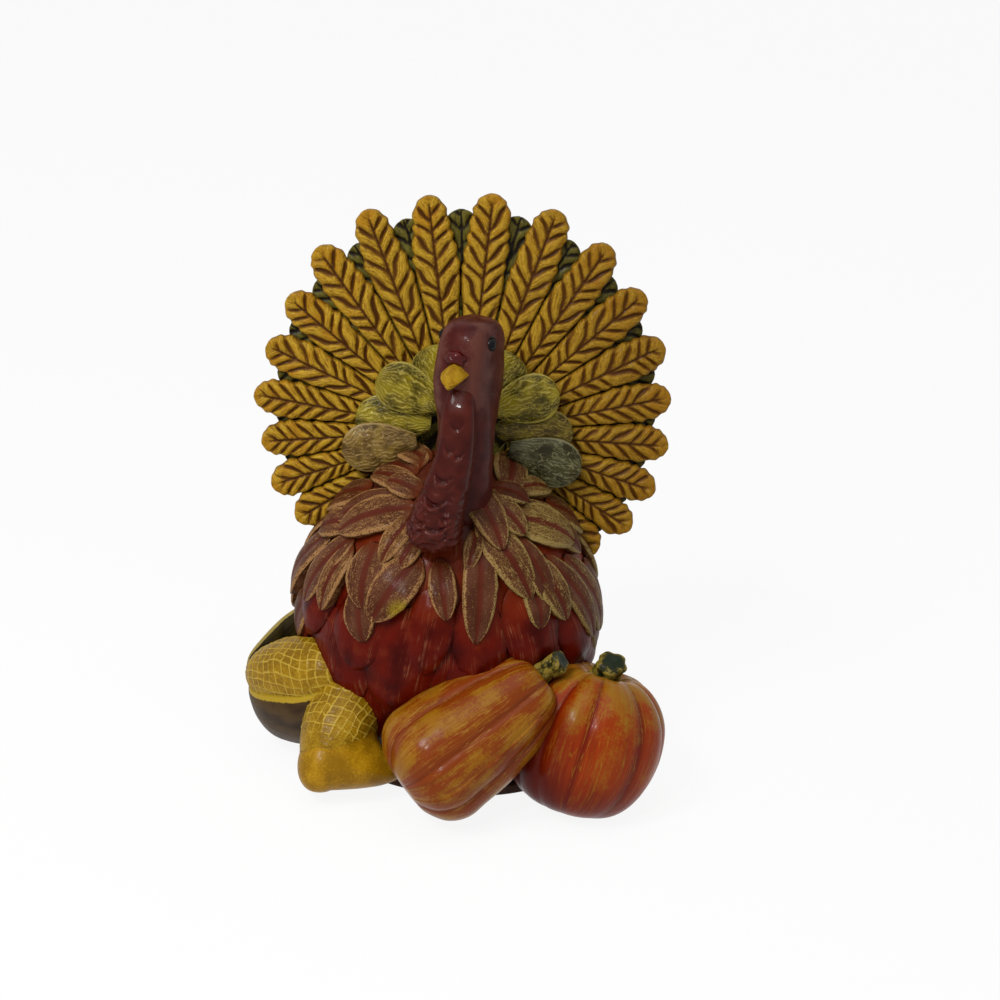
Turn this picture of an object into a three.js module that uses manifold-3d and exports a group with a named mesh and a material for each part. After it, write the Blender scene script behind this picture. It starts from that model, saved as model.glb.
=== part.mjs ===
// A hand-painted resin turkey for a harvest table. The bird stands on a thin oval base with its
// tail raised as a fan, and an ear of corn, a second ear, a squash and a pumpkin lie at its feet.
// Every sculpted element is a casting of its own, glued to its neighbours with pegs, tongues and
// matching seats. Millimetres, +Z up. The bird faces -Y, and +X is on its viewer's right.
import * as THREE from "three";
import { mergeVertices } from "three/addons/utils/BufferGeometryUtils.js";
import Module from "manifold-3d";

const wasm = await Module();
wasm.setup();

// Driving sizes
const FIGURE_HEIGHT = 139.7;
const GLUE_GAP = 0.3;

const BASE_WIDTH = 58;
const BASE_DEPTH = 46;
const BASE_THICKNESS = 3;
const BASE_EDGE = 0.8;
const BASE_FORWARD = 9;
const BASE_ASIDE = 4;

const BODY_WIDTH = 70.5;
const BODY_DEPTH = 61;
const BODY_HEIGHT = 82;
const BODY_WAIST = 37;
const BODY_FORWARD = 9;
const FAN_OVER_BODY = 61.7;
const BODY_TOP = FIGURE_HEIGHT - FAN_OVER_BODY;

const FAN_HALF_WIDTH = 50;
const FAN_RISE = 50.5;
const FAN_LEAN = 5;
const FAN_ROOT_RADIUS = 15;
const FAN_HUB_RADIUS = 24;

const TAIL_FEATHERS_EACH_SIDE = 9;
const TAIL_FEATHER_STEP = 18;
const TAIL_FEATHER_CROWDING = 0.37;
const TAIL_FEATHER_WIDTH = 11;
const TAIL_FEATHER_EDGE = 1.1;
const TAIL_BARBS = 6;
const TAIL_BARB_RELIEF = 1.9;
const TAIL_BARB_SLANT = 4.5;

const UNDER_FEATHER_REACH = 0.955;
const UNDER_FEATHER_WIDTH = 12;
const UNDER_FEATHER_THICKNESS = 1.6;
const UNDER_FEATHER_RIDGE = 1.1;

const TONGUE_WIDTH = 22;
const TONGUE_DEPTH = 14;

const COVERT_WIDTH = 12;
const COVERT_EDGE = 0.9;
const COVERT_CROWN = 1.3;

const BREAST_FEATHER_EDGE = 0.45;
const BREAST_FEATHER_CROWN = 1;
const BREAST_FEATHER_LIFT = 2.4;
const FEATHER_NOTCH = 0.42;
const BREAST_POLE_TILT = 36;
const BACK_POLE_TILT = -24;

const NECK_RADIUS = 6.6;
const NECK_BASE_RADIUS = 9.5;
const NECK_SPIGOT_RADIUS = 4;
const HEAD_WIDTH = 16.4;
const HEAD_DEPTH = 18.5;
const HEAD_HEIGHT = 20.5;
const HEAD_OVER_BODY = 39.3;
const HEAD_TOP = BODY_TOP + HEAD_OVER_BODY;
const HEAD_TURN = 25;
const EYE_RADIUS = 1.5;
const BEAK_LENGTH = 7.5;
const BEAK_WIDTH = 5.2;
const BEAK_SINK = 2.5;
const BEAK_DROOP = 12;
const SNOOD_RADIUS = 2.1;
const WATTLE_WIDTH = 11.5;
const WATTLE_THICKNESS = 8;
const WATTLE_SAG = 1.5;

const SQUASH_LENGTH = 41;
const SQUASH_RADIUS = 15.2;
const SQUASH_SHOULDER_RADIUS = 11;
const SQUASH_RIBS = 7;
const SQUASH_RIB_DEPTH = 1.5;

const PUMPKIN_RADIUS = 18;
const PUMPKIN_HEIGHT = 33.5;
const PUMPKIN_RIBS = 10;
const PUMPKIN_RIB_DEPTH = 1.3;
const PUMPKIN_TILT_BACK = 12;
const PUMPKIN_TILT_RIGHT = 12;

const STEM_RADIUS = 2.7;
const STEM_LENGTH = 8.5;
const STEM_PEG = 2;
const SQUASH_STEM_BEND = 1;
const PUMPKIN_STEM_BEND = 1.5;

const COB_RADIUS = 9.3;
const COB_LENGTH = 32;
const COB_ROWS = 10;
const COB_KERNELS = 7;
const COB_KERNEL_RELIEF = 0.8;
const HUSK_SWELL = 1.2;
const FRONT_HUSK_DROP = 3.6;
const SIDE_HUSK_DROP = 9;
const BACK_HUSK_DROP = 4.5;

// Sides of the turned rooms, and the size of the boxes that trim a form to one side of a plane
const ROOM_SIDES = 18;
const REACH = 400;

const rad = THREE.MathUtils.degToRad;
const { clamp, lerp, smoothstep } = THREE.MathUtils;
const vec = (x, y, z) => new THREE.Vector3(x, y, z);

// Solids and their placing

function solid(geometry) {
  const bare = geometry.clone();
  bare.deleteAttribute("normal");
  bare.deleteAttribute("uv");
  const merged = mergeVertices(bare, 1e-4);
  return new wasm.Manifold(
    new wasm.Mesh({
      numProp: 3,
      vertProperties: new Float32Array(merged.getAttribute("position").array),
      triVerts: new Uint32Array(merged.index.array),
    }),
  );
}

function geometryOf(made) {
  const mesh = made.getMesh();
  const geometry = new THREE.BufferGeometry();
  geometry.setAttribute("position", new THREE.BufferAttribute(mesh.vertProperties, 3));
  geometry.setIndex(new THREE.BufferAttribute(mesh.triVerts, 1));
  geometry.computeVertexNormals();
  return geometry;
}

const join = (parts) => parts.reduce((whole, part) => whole.add(part));
const cut = (whole, tools) => tools.reduce((left, tool) => left.subtract(tool), whole);

// Crumbs that a cut leaves behind are swept off: the casting is the largest body.
function mainBody(made) {
  return made.decompose().reduce((a, b) => (a.volume() > b.volume() ? a : b));
}

// A solid given in one group's frame, as seen from another group's frame.
function seenFrom(group, made, owner) {
  const matrix = group.matrixWorld.clone().invert();
  if (owner) matrix.multiply(owner.matrixWorld);
  return made.transform(matrix.elements);
}

function frameAt(position, rotation = [0, 0, 0]) {
  const group = new THREE.Group();
  group.position.copy(position);
  group.rotation.set(...rotation.map(rad));
  group.updateMatrixWorld(true);
  return group;
}

// A group whose +Z runs from one point to another.
function frameAlong(from, to) {
  const group = new THREE.Group();
  group.position.copy(from);
  group.quaternion.setFromUnitVectors(vec(0, 0, 1), to.clone().sub(from).normalize());
  group.updateMatrixWorld(true);
  return group;
}

function paint(color, roughness) {
  return new THREE.MeshStandardMaterial({ color, roughness, metalness: 0 });
}

function addPiece(group, name, made, material) {
  const mesh = new THREE.Mesh(geometryOf(made), material);
  mesh.name = name;
  group.add(mesh);
}

// Form makers

// Moves every point of a geometry by a function of its place.
function reshape(geometry, move) {
  const position = geometry.getAttribute("position");
  const point = vec(0, 0, 0);
  for (let i = 0; i < position.count; i += 1) {
    const moved = move(point.fromBufferAttribute(position, i));
    position.setXYZ(i, moved.x, moved.y, moved.z);
  }
  return geometry;
}

// A blade is a box bent to shape: u runs across from -1 to 1, t from root to tip from 0 to 1,
// and face is 0 on its back and 1 on its front.
function blade(across, along, place) {
  const box = new THREE.BoxGeometry(2, 1, 1, across, along, 1);
  return solid(reshape(box, (p) => place(p.x, p.y + 0.5, Math.round(p.z + 0.5))));
}

// A tube of changing oval section along a curve. Its front faces the viewer.
function sweep(points, section, sides, steps, grow = 0) {
  const curve = new THREE.CatmullRomCurve3(points);
  const tube = new THREE.CylinderGeometry(1, 1, 1, sides, steps);
  const placed = reshape(tube, (p) => {
    const t = clamp(p.y + 0.5, 0, 1);
    const along = curve.getTangentAt(t);
    const across = along.clone().cross(vec(0, -1, 0)).normalize();
    const front = across.clone().cross(along);
    const [halfWidth, halfDepth] = section(t, Math.atan2(p.x, p.z));
    const end = t < 1e-6 ? -grow : t > 1 - 1e-6 ? grow : 0;
    return curve
      .getPointAt(t)
      .addScaledVector(across, p.x * (halfWidth + grow))
      .addScaledVector(front, p.z * (halfDepth + grow))
      .addScaledVector(along, end);
  });
  return solid(placed);
}

// A turned form about +Z with lengthwise ribs: profile holds [radius, height] pairs from pole to
// pole, and relief gives the share of the depth lost at an angle, 0 on a rib and 1 in a groove.
function ribbed(profile, sides, relief, depth) {
  const points = profile.map(([r, h]) => new THREE.Vector2(r, h));
  const lathe = new THREE.LatheGeometry(points, sides).rotateX(Math.PI / 2);
  const widest = Math.max(...profile.map(([r]) => r));
  return solid(
    reshape(lathe, (p) => {
      const radius = Math.hypot(p.x, p.y);
      if (radius < 1e-6) return p;
      const lost = depth * relief(Math.atan2(p.y, p.x)) * Math.min(1, radius / widest);
      const scale = (radius - lost) / radius;
      return p.set(p.x * scale, p.y * scale, p.z);
    }),
  );
}

// The room a turned form needs: its profile without ribs, grown on all sides.
function turnedRoom(profile, grow) {
  const corners = profile.map(([r, h]) => new THREE.Vector2(r, h));
  const last = corners.length - 1;
  const grown = corners.map((corner, i) => {
    if (i === 0 || i === last) return new THREE.Vector2(0, corner.y + (i === 0 ? -grow : grow));
    const along = corners[i + 1].clone().sub(corners[i - 1]).normalize();
    return new THREE.Vector2(corner.x + along.y * grow, corner.y - along.x * grow);
  });
  return solid(new THREE.LatheGeometry(grown, ROOM_SIDES).rotateX(Math.PI / 2));
}

const groove = (count) => (angle) => 0.5 - 0.5 * Math.cos(count * angle);

// Outline of a round covert, as a share of its half width.
const petalWidth = (t) =>
  t < 0.65
    ? lerp(0.3, 1, Math.sin((t / 0.65) * (Math.PI / 2)))
    : Math.max(0.25, Math.sqrt(1 - ((t - 0.65) / 0.36) ** 2));

// Frames: the base stands on the floor, the fan's plane passes through y = 0.

const base = frameAt(vec(BASE_ASIDE, -BASE_FORWARD, 0));
const seatHeight = BASE_THICKNESS + GLUE_GAP;
const body = frameAt(vec(0, -BODY_FORWARD, BODY_WAIST));
const bodyHalf = vec(BODY_WIDTH / 2, BODY_DEPTH / 2, BODY_TOP - BODY_WAIST);
const bodyKeel = BODY_HEIGHT / 2;
const breastFront = -BODY_FORWARD - bodyHalf.y;
const tipDepth = GLUE_GAP + TAIL_FEATHER_EDGE;
const fanCentreHeight =
  FIGURE_HEIGHT - FAN_RISE * Math.cos(rad(FAN_LEAN)) - tipDepth * Math.sin(rad(FAN_LEAN));
const tail = frameAt(vec(0, 0, fanCentreHeight), [-FAN_LEAN, 0, 0]);

// A form cut flat at the height that it stands on.
function standing(group, made, height) {
  const room = solid(new THREE.BoxGeometry(REACH, REACH, REACH).translate(0, 0, height + REACH / 2));
  return made.intersect(seenFrom(group, room));
}

// Squash: a ribbed pear lying on the floor with its stem against the breast

const squashEnd = vec(-2, breastFront - 5, SQUASH_RADIUS * 0.93);
const squashAxis = vec(30, 12, 23).normalize();
const squash = frameAlong(squashEnd, squashEnd.clone().add(squashAxis));
const squashBelly = SQUASH_RADIUS * 0.5;
const squashTop = SQUASH_LENGTH - squashBelly;
const squashProfile = [
  [0, -squashBelly],
  [SQUASH_RADIUS * 0.55, -squashBelly * 0.9],
  [SQUASH_RADIUS * 0.87, -squashBelly * 0.5],
  [SQUASH_RADIUS, 0],
  [lerp(SQUASH_RADIUS, SQUASH_SHOULDER_RADIUS, 0.2), squashTop * 0.4],
  [lerp(SQUASH_RADIUS, SQUASH_SHOULDER_RADIUS, 0.7), squashTop * 0.72],
  [SQUASH_SHOULDER_RADIUS * 0.9, squashTop * 0.92],
  [SQUASH_SHOULDER_RADIUS * 0.5, squashTop],
  [0, squashTop],
];

// Pumpkin: leans to the front beside the squash

const pumpkinMiddle = vec(bodyHalf.x - 1.05, breastFront + 9.5, PUMPKIN_HEIGHT * 0.49);
const pumpkin = frameAt(pumpkinMiddle, [-PUMPKIN_TILT_BACK, PUMPKIN_TILT_RIGHT, 0]);
const pumpkinHalf = PUMPKIN_HEIGHT / 2;
const pumpkinDimple = pumpkinHalf * 0.8;
const pumpkinProfile = [
  [0, -pumpkinHalf * 0.9],
  [PUMPKIN_RADIUS * 0.4, -pumpkinHalf],
  [PUMPKIN_RADIUS * 0.8, -pumpkinHalf * 0.7],
  [PUMPKIN_RADIUS, -pumpkinHalf * 0.1],
  [PUMPKIN_RADIUS * 0.92, pumpkinHalf * 0.5],
  [PUMPKIN_RADIUS * 0.66, pumpkinHalf * 0.88],
  [PUMPKIN_RADIUS * 0.36, pumpkinHalf],
  [0, pumpkinDimple],
];

// Stems: a short crooked stub, flared where it meets the fruit

function stem(foot, bend, grow) {
  const points = [
    vec(0, 0, foot),
    vec(0, 0, foot + STEM_LENGTH * 0.4),
    vec(bend, bend * 0.5, foot + STEM_LENGTH),
  ];
  const flare = (t, angle) => {
    const radius = STEM_RADIUS * (1 - 0.25 * Math.sin(Math.PI * t)) * (1 + 0.12 * Math.cos(5 * angle));
    return [radius, radius];
  };
  return sweep(points, flare, 10, 4, grow);
}
const squashStem = (grow) => stem(squashTop - STEM_PEG, SQUASH_STEM_BEND, grow);
const pumpkinStem = (grow) => stem(pumpkinDimple - STEM_PEG, PUMPKIN_STEM_BEND, grow);

// Corn: a kernelled cob, tapered to a blunt tip, lying in a husk

const cobProfile = [];
const cobRings = 2 * COB_KERNELS;
const cobTaper = (t) => Math.sqrt(Math.max(0, 1 - (1 - t) ** 6)) * Math.sqrt(Math.max(0, 1 - t ** 3.2));
for (let ring = 0; ring <= cobRings; ring += 1) {
  const t = ring / cobRings;
  const relief = ring % 2 === 0 ? COB_KERNEL_RELIEF : 0;
  const edge = ring === 0 || ring === cobRings;
  cobProfile.push([edge ? 0 : COB_RADIUS * cobTaper(lerp(0.03, 0.97, t)) - relief, COB_LENGTH * t]);
}
const smoothCob = cobProfile.filter(([r], ring) => r === 0 || ring % 2 === 1);

// The husk is a boat of the cob's own outline, larger and shifted to the side it cups.
const huskProfile = [0, 0.05, 0.2, 0.5, 0.75, 0.92, 1].map((t) => {
  const radius = (COB_RADIUS + HUSK_SWELL) * cobTaper(t);
  return [radius, lerp(-HUSK_SWELL, COB_LENGTH + HUSK_SWELL, t)];
});
function boat(group, towards, grow) {
  const shift = towards.clone().applyQuaternion(group.quaternion.clone().invert());
  return turnedRoom(huskProfile, grow).translate(shift.toArray());
}

const besideBody = (aside, back, height) => vec(aside - bodyHalf.x, breastFront + back, height);
const frontCob = frameAlong(besideBody(16.25, 20.5, 27), besideBody(7.75, -1.5, COB_RADIUS * 0.75));
const frontHuskSide = vec(0.85, 0.1, -0.5).multiplyScalar(FRONT_HUSK_DROP);
const sideCob = frameAlong(besideBody(13.25, 12.5, 28.5), besideBody(-12.75, 30, 17.5));
const sideHuskSide = vec(0, 0.1, -1).multiplyScalar(SIDE_HUSK_DROP);
const backHuskSide = vec(0, 0.95, 0.3).multiplyScalar(BACK_HUSK_DROP);

// Each entry: its frame, name, paint, own form, and the room that the others leave it.
const produce = [
  {
    frame: squash,
    name: "squash",
    color: paint(0xb4581a, 0.35),
    form: () => ribbed(squashProfile, 4 * SQUASH_RIBS, groove(SQUASH_RIBS), SQUASH_RIB_DEPTH),
    room: (grow) => turnedRoom(squashProfile, grow),
    sockets: [squashStem],
  },
  {
    frame: squash,
    name: "squash_stem",
    color: paint(0x4c5a2c, 0.5),
    form: () => squashStem(0),
    room: squashStem,
    seated: true,
  },
  {
    frame: pumpkin,
    name: "pumpkin",
    color: paint(0xb2421a, 0.4),
    form: () => ribbed(pumpkinProfile, 4 * PUMPKIN_RIBS, groove(PUMPKIN_RIBS), PUMPKIN_RIB_DEPTH),
    room: (grow) => turnedRoom(pumpkinProfile, grow),
    sockets: [pumpkinStem],
  },
  {
    frame: pumpkin,
    name: "pumpkin_stem",
    color: paint(0x5a6430, 0.5),
    form: () => pumpkinStem(0),
    room: pumpkinStem,
    seated: true,
  },
  {
    frame: frontCob,
    name: "corn_front_cob",
    color: paint(0xc3a01c, 0.4),
    form: () => ribbed(cobProfile, 2 * COB_ROWS, groove(COB_ROWS), COB_KERNEL_RELIEF),
    room: (grow) => turnedRoom(smoothCob, grow),
  },
  {
    frame: frontCob,
    name: "corn_front_husk",
    color: paint(0xb98e1e, 0.5),
    form: () => boat(frontCob, frontHuskSide, 0),
    room: (grow) => boat(frontCob, frontHuskSide, grow),
  },
  {
    frame: sideCob,
    name: "corn_side_cob",
    color: paint(0xc3a01c, 0.4),
    form: () => ribbed(cobProfile, 2 * COB_ROWS, groove(COB_ROWS), COB_KERNEL_RELIEF),
    room: (grow) => turnedRoom(smoothCob, grow),
  },
  {
    frame: sideCob,
    name: "corn_side_husk",
    color: paint(0x4a4030, 0.6),
    form: () => boat(sideCob, sideHuskSide, 0),
    room: (grow) => boat(sideCob, sideHuskSide, grow),
  },
  {
    frame: sideCob,
    name: "corn_back_husk",
    color: paint(0x57502c, 0.6),
    form: () => boat(sideCob, backHuskSide, 0),
    room: (grow) => boat(sideCob, backHuskSide, grow),
  },
];

// The first pieces of the list keep their whole form; each later one is cut back to clear them.
function clearOf(group, pieces) {
  return pieces.map((piece) => seenFrom(group, piece.room(GLUE_GAP), piece.frame));
}

for (const [order, piece] of produce.entries()) {
  const earlier = piece.seated ? [] : produce.slice(0, order);
  const sockets = (piece.sockets ?? []).map((peg) => peg(GLUE_GAP));
  const made = cut(standing(piece.frame, piece.form(), 0), [...clearOf(piece.frame, earlier), ...sockets]);
  addPiece(piece.frame, piece.name, mainBody(made), piece.color);
}

// Base plate: an oval under the bird, hollowed where the vegetables lie against it

const baseOutline = new THREE.Shape();
baseOutline.absellipse(0, 0, BASE_WIDTH / 2 - BASE_EDGE, BASE_DEPTH / 2 - BASE_EDGE, 0, 2 * Math.PI);
const basePlate = new THREE.ExtrudeGeometry(baseOutline, {
  depth: BASE_THICKNESS - 2 * BASE_EDGE,
  bevelSize: BASE_EDGE,
  bevelThickness: BASE_EDGE,
  bevelSegments: 1,
  curveSegments: 12,
}).translate(0, 0, BASE_EDGE);
addPiece(base, "base_plate", mainBody(cut(solid(basePlate), clearOf(base, produce))), paint(0x4b3a28, 0.6));

// Head and neck: the neck swells into the breast and is pegged into the body

const headHalf = vec(HEAD_WIDTH / 2, HEAD_DEPTH / 2, HEAD_HEIGHT / 2);
const head = frameAt(vec(-0.4, -27, HEAD_TOP - headHalf.z), [0, 0, -HEAD_TURN]);
const throat = head.position.clone().add(vec(0.9, 0, -headHalf.z));
const neckPath = [vec(1.5, -19, BODY_TOP - 14), vec(1.6, -24, BODY_TOP + 2), throat, head.position];
const neckSection = (t) => {
  const radius = lerp(NECK_BASE_RADIUS, NECK_RADIUS, smoothstep(t, 0.15, 0.6));
  return [radius, radius];
};
const neckSolid = (grow) => sweep(neckPath, neckSection, 12, 5, grow);
const spigotTop = neckPath[1];
const spigot = frameAlong(spigotTop, neckPath[0]);
const spigotLength = spigotTop.distanceTo(neckPath[0]);
const spigotSolid = (grow) =>
  solid(
    new THREE.CylinderGeometry(NECK_SPIGOT_RADIUS + grow, NECK_SPIGOT_RADIUS + grow, spigotLength + grow, 16)
      .rotateX(Math.PI / 2)
      .translate(0, 0, (spigotLength + grow) / 2),
  );

// A point of the head's surface in a direction of the head's own frame.
function onHead(x, y, z) {
  const direction = vec(x, y, z);
  return direction.divideScalar(direction.clone().divide(headHalf).length());
}
const eyeSolid = (side, grow) =>
  solid(new THREE.SphereGeometry(EYE_RADIUS + grow, 8, 6)).translate(onHead(side * 6.4, -3.8, 6).toArray());
const snoodSolid = (grow) =>
  solid(
    new THREE.SphereGeometry(SNOOD_RADIUS + grow, 8, 6).scale(1, 0.9, 1.35),
  ).translate(onHead(0.2, -9, 3.4).toArray());
const beakFoot = onHead(0.4, -9, -0.8);
const beakSolid = (grow) =>
  solid(
    new THREE.ConeGeometry(BEAK_WIDTH / 2 + grow, BEAK_LENGTH + 2 * grow, 8, 2)
      .rotateX(Math.PI)
      .translate(0, BEAK_SINK - BEAK_LENGTH / 2, 0)
      .rotateX(rad(BEAK_DROOP)),
  ).translate(beakFoot.toArray());

const headBall = solid(new THREE.SphereGeometry(1, 14, 10).rotateX(Math.PI / 2).scale(...headHalf.toArray()));

// The body's egg: its waist is at z = 0 of its frame, and its two ends have their own heights.
const eggHalf = (z) => vec(bodyHalf.x, bodyHalf.y, z < 0 ? bodyKeel : bodyHalf.z);
function bodyEgg(grow) {
  const ball = new THREE.SphereGeometry(1, 22, 12).rotateX(Math.PI / 2);
  return solid(reshape(ball, (p) => p.multiply(eggHalf(p.z).addScalar(grow))));
}

// The wattle hangs from the chin along the neck, swells downwards and ends on the breast.
const chin = vec(-2.6, -headHalf.y * 0.92, -headHalf.z * 0.49).add(head.position);
const wattleEnd = vec(-4.8, -bodyHalf.y * 0.928, bodyHalf.z * 0.72).add(body.position);
const besideNeck = (share) => chin.clone().lerp(wattleEnd, share).add(vec(0.4, WATTLE_SAG, 0));
const wattlePath = [chin, besideNeck(1 / 3), besideNeck(2 / 3), wattleEnd];
const wattleSection = (t, angle) => {
  const roundEnd = Math.sqrt(Math.max(0.05, 1 - Math.max(0, (t - 0.75) / 0.27) ** 2));
  const lumps = 1 + 0.08 * Math.cos(3 * angle + 20 * t);
  const share = smoothstep(t, -0.1, 0.75) * roundEnd * lumps;
  return [(WATTLE_WIDTH / 2) * share, (WATTLE_THICKNESS / 2) * share];
};
const wattleSolid = (grow) => sweep(wattlePath, wattleSection, 12, 9, grow);

const plum = paint(0x5a201c, 0.4);
const neckInHead = cut(
  headBall.add(cut(seenFrom(head, neckSolid(0)), [seenFrom(head, bodyEgg(GLUE_GAP), body)])),
  [eyeSolid(-1, GLUE_GAP), eyeSolid(1, GLUE_GAP), snoodSolid(GLUE_GAP), beakSolid(GLUE_GAP)],
);
addPiece(head, "head_and_neck", mainBody(neckInHead.add(seenFrom(head, spigotSolid(0), spigot))), plum);
addPiece(head, "eye_left", eyeSolid(-1, 0), paint(0x14141c, 0.15));
addPiece(head, "eye_right", eyeSolid(1, 0), paint(0x14141c, 0.15));
addPiece(head, "snood", cut(snoodSolid(0), [beakSolid(GLUE_GAP)]), plum);
addPiece(head, "beak", beakSolid(0), paint(0xc08a1c, 0.35));

const wattle = frameAt(vec(0, 0, 0));
const headAndNeck = (grow) => {
  const ball = new THREE.SphereGeometry(1, 14, 10).rotateX(Math.PI / 2);
  ball.scale(headHalf.x + grow, headHalf.y + grow, headHalf.z + grow);
  return seenFrom(wattle, solid(ball), head).add(neckSolid(grow));
};
const wattleRoom = [headAndNeck(GLUE_GAP), seenFrom(wattle, bodyEgg(GLUE_GAP), body)];
wattleRoom.push(seenFrom(wattle, beakSolid(GLUE_GAP), head));
addPiece(wattle, "wattle", mainBody(cut(wattleSolid(0), wattleRoom)), paint(0x4c1a18, 0.3));

// Body: an egg standing on the base, slotted for the tail's tongue and socketed for the neck

const tongueTop = -FAN_HUB_RADIUS * 0.3;
const tongueFoot = BODY_TOP - fanCentreHeight - TONGUE_DEPTH;
const tongueSolid = (grow) =>
  solid(
    new THREE.BoxGeometry(
      TONGUE_WIDTH + 2 * grow,
      UNDER_FEATHER_THICKNESS + 2 * grow,
      tongueTop - tongueFoot + 2 * grow,
    ).translate(0, UNDER_FEATHER_THICKNESS / 2, (tongueTop + tongueFoot) / 2),
  );
const bodySolid = cut(standing(body, bodyEgg(0), seatHeight), [
  ...clearOf(body, produce),
  seenFrom(body, tongueSolid(GLUE_GAP), tail),
  seenFrom(body, spigotSolid(GLUE_GAP), spigot),
]);
addPiece(body, "body", mainBody(bodySolid), paint(0x6a1710, 0.3));

// Body feathers: shingled rows that radiate from the neck over the breast, and from the fan's
// root down the back. Roots lie on the egg, tips lift over the roots of the next row.

function bodyDirection(poleTilt, polar, turn) {
  const pole = vec(0, -Math.sin(rad(poleTilt)), Math.cos(rad(poleTilt)));
  const down = vec(0, -Math.cos(rad(poleTilt)), -Math.sin(rad(poleTilt)));
  return pole
    .multiplyScalar(Math.cos(rad(polar)))
    .addScaledVector(down, Math.sin(rad(polar)) * Math.cos(rad(turn)))
    .addScaledVector(vec(1, 0, 0), Math.sin(rad(polar)) * Math.sin(rad(turn)));
}
const onEgg = (direction) => direction.clone().normalize().multiply(eggHalf(direction.z));
function eggNormal(point) {
  const half = eggHalf(point.z);
  return point.clone().divide(half).divide(half).normalize();
}

// One row is a strip of the egg's surface: v runs across each feather from -1 to 1, and the strip
// reaches furthest, and is thickest, along the middle of each feather.
function featherRow({ pole, from, to, left, right, count, columns }) {
  return blade(columns * count, 3, (u, t, face) => {
    const place = ((1 - u) / 2) * count;
    const v = 2 * (place - Math.floor(place + 1e-6)) - 1;
    const share = t * (1 - FEATHER_NOTCH * Math.abs(v) ** 1.6);
    const turn = lerp(left, right, (1 - u) / 2);
    const aside = Math.min(1, Math.abs(turn) / 90);
    const polar = lerp(lerp(...from, aside), lerp(...to, aside), share);
    const foot = onEgg(bodyDirection(pole, polar, turn));
    const swell = BREAST_FEATHER_CROWN * Math.sin(Math.PI * (0.05 + 0.9 * t)) * (1 - v * v);
    const lift = GLUE_GAP + BREAST_FEATHER_LIFT * share;
    return foot.addScaledVector(eggNormal(foot), lift + face * (BREAST_FEATHER_EDGE + swell));
  });
}

// Rows run from one turn to another, and from one polar angle to another; each polar angle is
// given for the front and for the side.
const front = { pole: BREAST_POLE_TILT, columns: 2 };
const ruff = { ...front, from: [12, 16], to: [26, 38], count: 5 };
const breast = { ...front, from: [20, 30], to: [40, 56], count: 5, columns: 4 };
const belly = { ...front, from: [64, 85], to: [94, 114], count: 5 };
const backs = { pole: BACK_POLE_TILT, left: 116, right: 244, columns: 2 };
const rows = [
  ["neck_ruff_left", { ...ruff, left: -142, right: -12 }],
  ["neck_ruff_right", { ...ruff, left: 12, right: 142 }],
  ["breast_row_left", { ...breast, left: -118, right: -0.6 }],
  ["breast_row_right", { ...breast, left: 0.6, right: 118 }],
  ["breast_row_middle", { ...front, from: [34, 50], to: [52, 72], left: -106, right: 106, count: 11 }],
  ["breast_row_lower", { ...front, from: [46, 65], to: [69, 91], left: -106, right: 106, count: 11 }],
  ["belly_row_left", { ...belly, left: -104, right: -0.6 }],
  ["belly_row_right", { ...belly, left: 0.6, right: 104 }],
  ["back_row_upper", { ...backs, from: [16, 16], to: [46, 46], count: 5 }],
  ["back_row_middle", { ...backs, from: [38, 38], to: [74, 74], count: 6 }],
  ["back_row_lower", { ...backs, from: [66, 66], to: [104, 104], count: 7 }],
];
const rowRoom = [
  ...clearOf(body, produce),
  seenFrom(body, headAndNeck(GLUE_GAP), wattle),
  seenFrom(body, wattleSolid(GLUE_GAP), wattle),
];
for (const [name, row] of rows) {
  addPiece(body, name, mainBody(cut(featherRow(row), rowRoom)), paint(0x6b3a24, 0.45));
}

// Tail fan, drawn in its own plane: x to the viewer's right, z up, the plate's front at y = 0

const fanAngle = (index) => TAIL_FEATHER_STEP * index - TAIL_FEATHER_CROWDING * index * Math.abs(index);
function fanTip(angle, reach) {
  const tip = new THREE.Vector2(FAN_HALF_WIDTH * Math.sin(rad(angle)), FAN_RISE * Math.cos(rad(angle)));
  return tip.multiplyScalar(reach);
}
function fanRoot(angle) {
  const spread = 1.65 * angle - 0.0045 * angle * Math.abs(angle);
  return new THREE.Vector2(Math.sin(rad(spread)), Math.cos(rad(spread))).multiplyScalar(FAN_ROOT_RADIUS);
}

// A flat feather from a root to a tip in the fan's plane; depth gives y at (u, t, face).
function fanFeather(root, tip, across, along, halfWidth, slant, depth) {
  const spine = tip.clone().sub(root);
  const length = spine.length();
  const side = new THREE.Vector2(spine.y, -spine.x).divideScalar(length);
  return blade(across, along, (u, t, face) => {
    const s = t + (slant / length) * Math.abs(u) * (1 - t);
    const middle = root.clone().addScaledVector(spine, s);
    const edge = middle.clone().addScaledVector(side, u * halfWidth(s, middle));
    return vec(edge.x, depth(u, t, face), edge.y);
  });
}

// Outline of a tail feather, as a share of its half width: it widens from the root to a round tip.
function tailTipWidth(t) {
  const roundTip = Math.sqrt(Math.max(0.06, 1 - (Math.max(0, t - 0.84) / 0.165) ** 2));
  return lerp(0.5, 1, smoothstep(t, 0, 0.7)) * roundTip;
}

// Half the room between a point of one feather and the spine of its neighbour.
function roomBeside(point, index) {
  if (Math.abs(index) > TAIL_FEATHERS_EACH_SIDE) return Infinity;
  const root = fanRoot(fanAngle(index));
  const along = fanTip(fanAngle(index), 1).sub(root).normalize();
  const offset = point.clone().sub(root);
  return (Math.abs(offset.cross(along)) - GLUE_GAP) / 2;
}

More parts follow.
